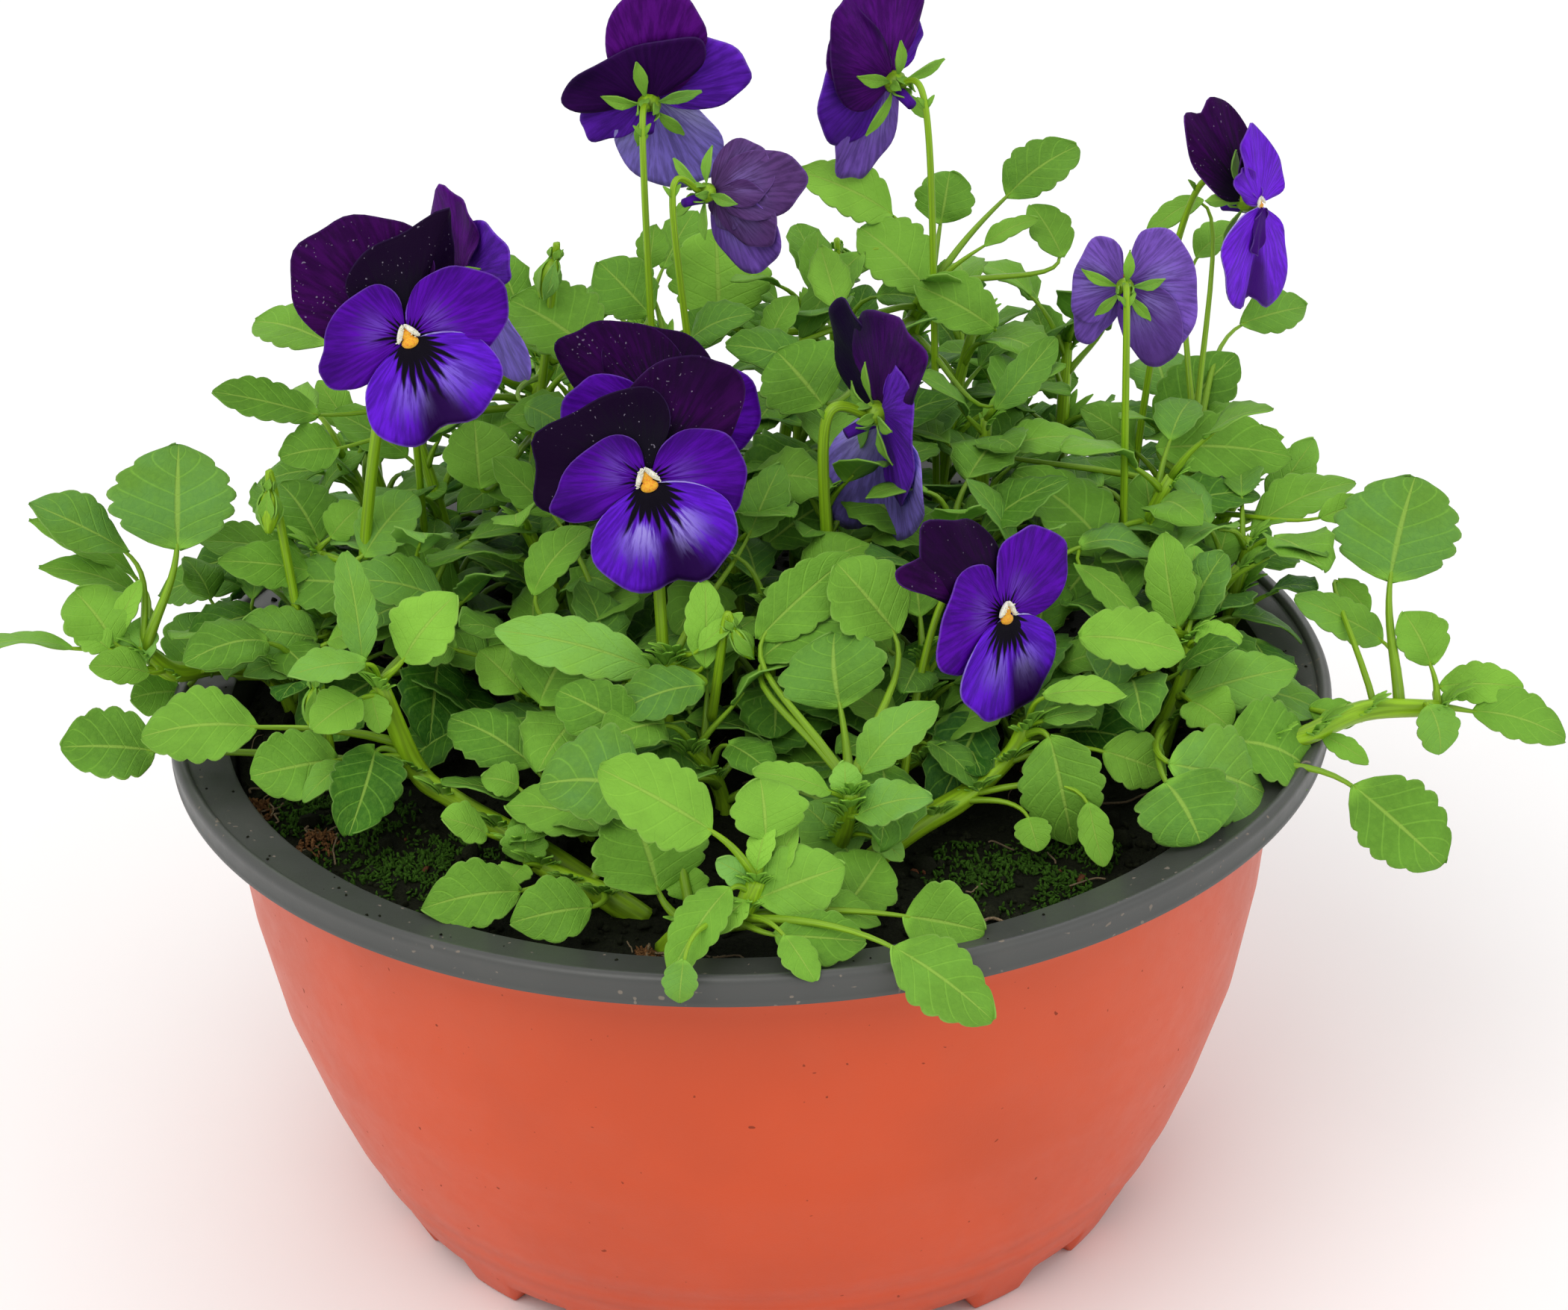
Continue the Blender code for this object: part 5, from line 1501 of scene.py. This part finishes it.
class Face:
    """A flower's heart, right, up and outward axes, size and stalk's foot, read from the CAD."""

    CUP_CORNERS = 10        # corners of the ring that the CAD cup ends in
    CUP_BEHIND = 0.72       # from the heart back to that ring
    SIDE_REACH = 21.5       # reach of the CAD's side petals at size 1
    NEAR = 12               # the stalk's corners this near the petals lie behind them

    def __init__(self, name):
        upper, sides, lip, stalk = (cad_points(f"{name}_{part}") for part in (*GROUPS, "stalk"))
        petals = np.vstack([upper, sides, lip])
        middle = petals.mean(0)
        out = np.linalg.svd(petals - middle, full_matrices=False)[2][2]
        near = stalk[np.linalg.norm(stalk - middle, axis=1) < self.NEAR]
        if np.dot(out, middle - near.mean(0)) < 0:
            out = -out
        ring = stalk[np.argsort(stalk @ out)[-self.CUP_CORNERS:]]
        normal = np.linalg.svd(ring - ring.mean(0), full_matrices=False)[2][2]
        self.out = normal * np.sign(np.dot(normal, out))
        self.heart = ring.mean(0) + self.out * self.CUP_BEHIND
        up = upper.mean(0) - self.heart
        self.up = unit(up - self.out * np.dot(up, self.out))
        self.right = np.cross(self.up, self.out)
        sides = sides - self.heart
        sides = sides - np.outer(sides @ self.out, self.out)
        self.size = float(np.linalg.norm(sides, axis=1).max()) / self.SIDE_REACH
        self.foot = stalk[stalk[:, 2] < stalk[:, 2].min() + 0.05].mean(0)
        self.heart = self.heart + SHIFTS.get(name, (0, 0, 0))

    def place(self, points):
        """Points in the flower's own frame, put in the bowl's."""
        points = np.asarray(points, float) * self.size
        return (self.heart + points[..., 0:1] * self.right + points[..., 1:2] * self.up
                + points[..., 2:3] * self.out)


class VIOLA_OT_flowers(Operator):
    """Makes the petals, eye, sepals, spur and hooked stalk of each flower"""
    bl_idname = "viola.flowers"
    bl_label = "Flowers"

    def execute(self, context):
        for number, name in enumerate(FLOWERS):
            face = Face(name)
            source = random.Random(FLOWER_SEED + number)
            for part in GROUPS:
                self.petals(name, part, face, source)
            self.eye(name, face, source)
            self.stalk(name, face, source)
        return {"FINISHED"}

    def petals(self, name, part, face, source):
        changes = SPECIAL.get(name, {})
        members, slot = GROUPS[part]
        skin = Skin()
        for member in members:
            if member in EXTRAS and member not in changes:
                continue
            spec = {**PETALS[member], **(FLAT_BENDS if name in FLAT else {}), "seed": source.uniform(0, 6),
                    **changes.get(member, {})}
            if member not in changes:
                spec["angle"] += source.uniform(-6, 6)
                spec["bend"] += source.uniform(-6, 14)
                spec["dusk"] = source.uniform(0.1, 0.8)
            points, places, dusk = Petal(**spec).shaped()
            skin.sheet(face.place(points), PETAL_THICKNESS, places, dusk, seed=spec["seed"])
        node, usual = f"{name}_{part}", slot.replace("_", " ")
        looks = OTHER_FACES.get(node, usual), OTHER_BACKS.get(node, usual + " back")
        item = skin.make(node + "_looks", [finish(look) for look in looks])
        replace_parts(item, node)

    def eye(self, name, face, source):
        """The yellow spot under an arch of white beard."""
        skin = Skin()
        points, faces = ball(2)
        hair, hair_faces = ball(0)
        size = EYE_SIZES.get(name, 1.0)
        for half, middle in EYE_PADS:
            skin.add(face.place((points * half + middle) * size), faces)
        for side in (-1, 1):
            cheek = points * CHEEK @ np.array(Matrix.Rotation(-side * 0.58, 3, "Z"))
            skin.add(face.place((cheek + (side * 1.3, 1.15, 1.9)) * size), faces, slot=1)
            for _ in range(BEARD_TUFTS):
                t = source.random()
                middle = np.array((side * (0.2 + 2.2 * t), 2.7 - 3.2 * t, 2.3))
                middle = middle + [source.gauss(0, 0.20) for _ in range(3)]
                lean = np.array((side * 0.35, 0.5, 1.0)) + [source.gauss(0, 0.35) for _ in range(3)]
                turn = np.array(Vector((0, 0, 1)).rotation_difference(Vector(lean)).to_matrix())
                tuft = (hair * HAIR) @ turn.T + middle
                skin.add(face.place(tuft * size), hair_faces, slot=1)
        item = skin.make(name + "_eye", [finish("yellow eye"), finish("white beard")])

    def stalk(self, name, face, source):
        """The hooked stalk, cup, spur and five sepals."""
        skin = Skin()
        cup = face.place((0, 0, -4.6))
        rise = cup[2] - face.foot[2]
        foot = face.foot - UP * 2
        hook = cup - face.out * 12 + UP * 10
        path = bezier((foot, foot + UP * 0.55 * rise, hook - UP * 4, hook, cup), STALK_STEPS)
        thick = STOUT_RADIUS if name in STOUT else SLIM_RADIUS
        skin.tube(path, thick + 0.20 * np.linspace(1, 0, STALK_STEPS) ** 2, 12, 0.9, STEM_SLOT, 0.06)
        joint = path[JOINT_STEP]
        for side in (-1, 1):
            lean = unit((side, 0.3 * side, 1.6))
            lobe(skin, joint, joint + lean * 3.6, 1.2, LEAF_FACING, 0.8)
        skin.tube(face.place(CUP_RINGS[:, :1] * UP), CUP_RINGS[:, 1] * face.size, 14, 0.7, STEM_SLOT)
        spur = bezier(((0, -1.5, -1), (0, -1.5, -5), (0, -2.5, -9.5)), 10)
        skin.tube(face.place(spur), np.linspace(1.6, 1.2, 10) * face.size, 10, 0.5, STEM_SLOT + 1)
        for k in range(SEPALS):
            angle = math.radians(90 + 360 / SEPALS * k + source.uniform(-9, 9))
            away = np.array((*polar(1, angle), 0))
            reach = source.uniform(10.5, 13.5)
            base, tip = away * 1.6 + (0, 0, -2.9), away * reach + (0, 0, -3.6 - source.uniform(0, 2.5))
            ear = away * 2.6 + (0, 0, -7.6)
            base, tip, ear = face.place(base), face.place(tip), face.place(ear)
            Leaf(source, base, tip, 3.3 * face.size, 0.85, teeth=1, narrow=0.9, normal=-face.out).blade(skin)
            Leaf(source, base, ear, 2.4 * face.size, 0.75, teeth=1, narrow=0.4,
                 normal=face.place(away) - face.heart).blade(skin)
        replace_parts(leafy(skin, name + "_stalk_looks", "stalk_green", "side petal back"), name + "_stalk")


# Nodding buds: the foot of the stalk, the top of its hook, the bud's middle and its length.
BUDS = (
    ((-94, -4, 118), (-99.5, 2, 168), (-100, -2, 161), 9.0),
    ((-86, -44, 118), (-88, -40, 142), (-89, -44, 136), 8.0),
    ((-52, 30, 118), (-37, 34, 205), (-40, 32, 198), 9.0),
    ((-8, -44, 130), (-4, -44, 152), (-1, -46, 148), 7.0),
    ((30, 96, 112), (24, 104, 176), (26, 107, 170), 9.5),
    ((-56, 66, 112), (-62, 84, 158), (-63, 88, 152), 8.5),
)
BUD_STALK_STEPS = 30


class VIOLA_OT_buds(Operator):
    """Hangs closed green buds on hooked stalks"""
    bl_idname = "viola.buds"
    bl_label = "Buds"

    def execute(self, context):
        for number, (foot, hook, middle, reach) in enumerate(BUDS):
            source = random.Random(BUD_SEED + number)
            foot, hook, middle = (np.array(p, float) for p in (foot, hook, middle))
            skin = Skin()
            hang = unit(middle - hook + np.array((0.2, -0.3, -0.6)))
            top = middle - hang * reach * 0.5
            path = bezier((foot, foot * 0.4 + hook * 0.6, hook + UP * 4, hook + UP * 5, top), BUD_STALK_STEPS)
            skin.tube(path, np.linspace(1.1, 0.7, BUD_STALK_STEPS), 10, 0.9, STEM_SLOT, 0.05)
            along = np.linspace(0, 1, 12)
            swell = np.sin(math.pi * (0.08 + 0.86 * along)) ** 0.8 * reach * 0.25
            skin.tube(top + along[:, None] * hang * reach, swell, 14, 0.9, STEM_SLOT)
            side = unit(np.cross(hang, (0.3, 0.9, 0.1)))
            for k in range(SEPALS):
                away = turned(side, hang, 360 / SEPALS * k + source.uniform(-8, 8))
                base = top + away * reach * 0.12
                tip = top + hang * reach * source.uniform(0.85, 1.05) + away * reach * 0.16
                leaf = Leaf(source, base, tip, reach * 0.40, 0.7, teeth=1, narrow=0.8, normal=away)
                leaf.arch = 0.16
                leaf.blade(skin)
                end = top - hang * 2.2 + away * 1.8
                Leaf(source, base, end, 1.8, 0.7, teeth=1, narrow=0.4, normal=away).blade(skin)
            leafy(skin, f"bud_{number + 1}", "stalk_green")
        return {"FINISHED"}


# ---------------------------------------------------------------- stage
LENS = 84.74
SENSOR = 36.0
SHIFT = (0.0224, 0.0107)
SKY_STRENGTH = 0.85
FLOOR_HALF, FLOOR_DROP = 6, 0.0003      # in metres; the floor lies just under the feet
LIGHT_AIM = (0, 0, 0.12)
# Lights: place and size in metres, watts and colour.
LIGHTS = (
    ("key light", (-0.7, -1.1, 1.9), 1.6, 17.0, (1.0, 0.98, 0.95)),
    ("fill light", (1.6, -0.9, 1.1), 1.8, 5.0, (0.95, 0.97, 1.0)),
    ("back light", (0.3, 1.6, 1.5), 1.6, 6.0, (1.0, 1.0, 1.0)),
)


class VIOLA_OT_stage(Operator):
    """Sets a pale floor, soft lights and the camera"""
    bl_idname = "viola.stage"
    bl_label = "Stage"

    def execute(self, context):
        settings = context.scene.viola_stage
        self.floor(tuple(settings.floor))
        self.lights(context.scene)
        self.camera(context.scene, settings)
        context.scene.view_settings.view_transform = "Standard"
        return {"FINISHED"}

    def floor(self, colour):
        mesh = bpy.data.meshes.new("floor")
        corners = [(x * FLOOR_HALF, y * FLOOR_HALF, 0) for x, y in ((-1, -1), (1, -1), (1, 1), (-1, 1))]
        mesh.from_pydata(corners, [], [(0, 1, 2, 3)])
        g = Finish("floor", Roughness=0.7)
        tone = g.noise(g.spot(), 30.0, 3.0)
        g.feed(g.shader.inputs["Base Color"], g.mix(tone, shade(colour, 0.99), colour))
        mesh.materials.append(g.material)
        item = bpy.data.objects.new("floor", mesh)
        item.location.z = -FLOOR_DROP
        bpy.context.scene.collection.objects.link(item)

    def lights(self, scene):
        world = bpy.data.worlds.new("studio")
        world.use_nodes = True
        sky = world.node_tree.nodes["Background"]
        sky.inputs["Color"].default_value = (1, 1, 1, 1)
        sky.inputs["Strength"].default_value = SKY_STRENGTH
        scene.world = world
        for name, place, size, watts, colour in LIGHTS:
            light = bpy.data.lights.new(name, "AREA")
            light.shape, light.size, light.energy, light.color = "DISK", size, watts, colour
            item = bpy.data.objects.new(name, light)
            item.location = place
            item.rotation_euler = (Vector(LIGHT_AIM) - Vector(place)).to_track_quat("-Z", "Y").to_euler()
            scene.collection.objects.link(item)

    def camera(self, scene, settings):
        camera = bpy.data.cameras.new("camera")
        camera.lens, camera.sensor_width = LENS, SENSOR
        camera.shift_x, camera.shift_y = SHIFT
        camera.clip_start, camera.clip_end = 0.01, 50
        rise, roll = settings.elevation, settings.roll
        back = Vector((0, -math.cos(rise), math.sin(rise)))
        upward = Vector((0, math.sin(rise), math.cos(rise)))
        right = Vector((1, 0, 0))
        x = right * math.cos(roll) + upward * math.sin(roll)
        y = upward * math.cos(roll) - right * math.sin(roll)
        item = bpy.data.objects.new("camera", camera)
        spot = Vector((0, 0, scene.viola_bowl.rim_top)) + back * settings.distance
        item.matrix_world = Matrix.Translation(spot) @ Matrix((x, y, back)).transposed().to_4x4()
        scene.collection.objects.link(item)
        scene.camera = item


# ---------------------------------------------------------------- add-on
class VIOLA_PT_panel(Panel):
    """Lists the pieces and their settings"""
    bl_idname = "VIOLA_PT_panel"
    bl_label = "Potted Viola"
    bl_space_type = "VIEW_3D"
    bl_region_type = "UI"
    bl_category = "Viola"

    def draw(self, context):
        for operator in OPERATORS:
            self.layout.operator(operator.bl_idname)
            key = SHOWN.get(operator)
            if key:
                box = self.layout.box()
                for field in SETTINGS[key].__annotations__:
                    box.prop(getattr(context.scene, key), field)


SETTINGS = {"viola_bowl": BowlSettings, "viola_soil": SoilSettings, "viola_leaves": LeafSettings,
            "viola_flowers": FlowerSettings, "viola_stage": StageSettings}
OPERATORS = (VIOLA_OT_bowl, VIOLA_OT_soil, VIOLA_OT_shoots, VIOLA_OT_fillers, VIOLA_OT_flowers, VIOLA_OT_buds,
             VIOLA_OT_stage)
# The settings that the panel shows under an operator.
SHOWN = {VIOLA_OT_bowl: "viola_bowl", VIOLA_OT_soil: "viola_soil", VIOLA_OT_shoots: "viola_leaves",
         VIOLA_OT_flowers: "viola_flowers", VIOLA_OT_stage: "viola_stage"}


def register():
    for group in (*SETTINGS.values(), *OPERATORS, VIOLA_PT_panel):
        bpy.utils.register_class(group)
    for key, group in SETTINGS.items():
        setattr(bpy.types.Scene, key, PointerProperty(type=group))


def unregister():
    for key in SETTINGS:
        delattr(bpy.types.Scene, key)
    for group in reversed((*SETTINGS.values(), *OPERATORS, VIOLA_PT_panel)):
        bpy.utils.unregister_class(group)


def main():
    register()
    for operator in OPERATORS:
        group, name = operator.bl_idname.split(".")
        getattr(getattr(bpy.ops, group), name)()


if __name__ == "__main__":
    main()
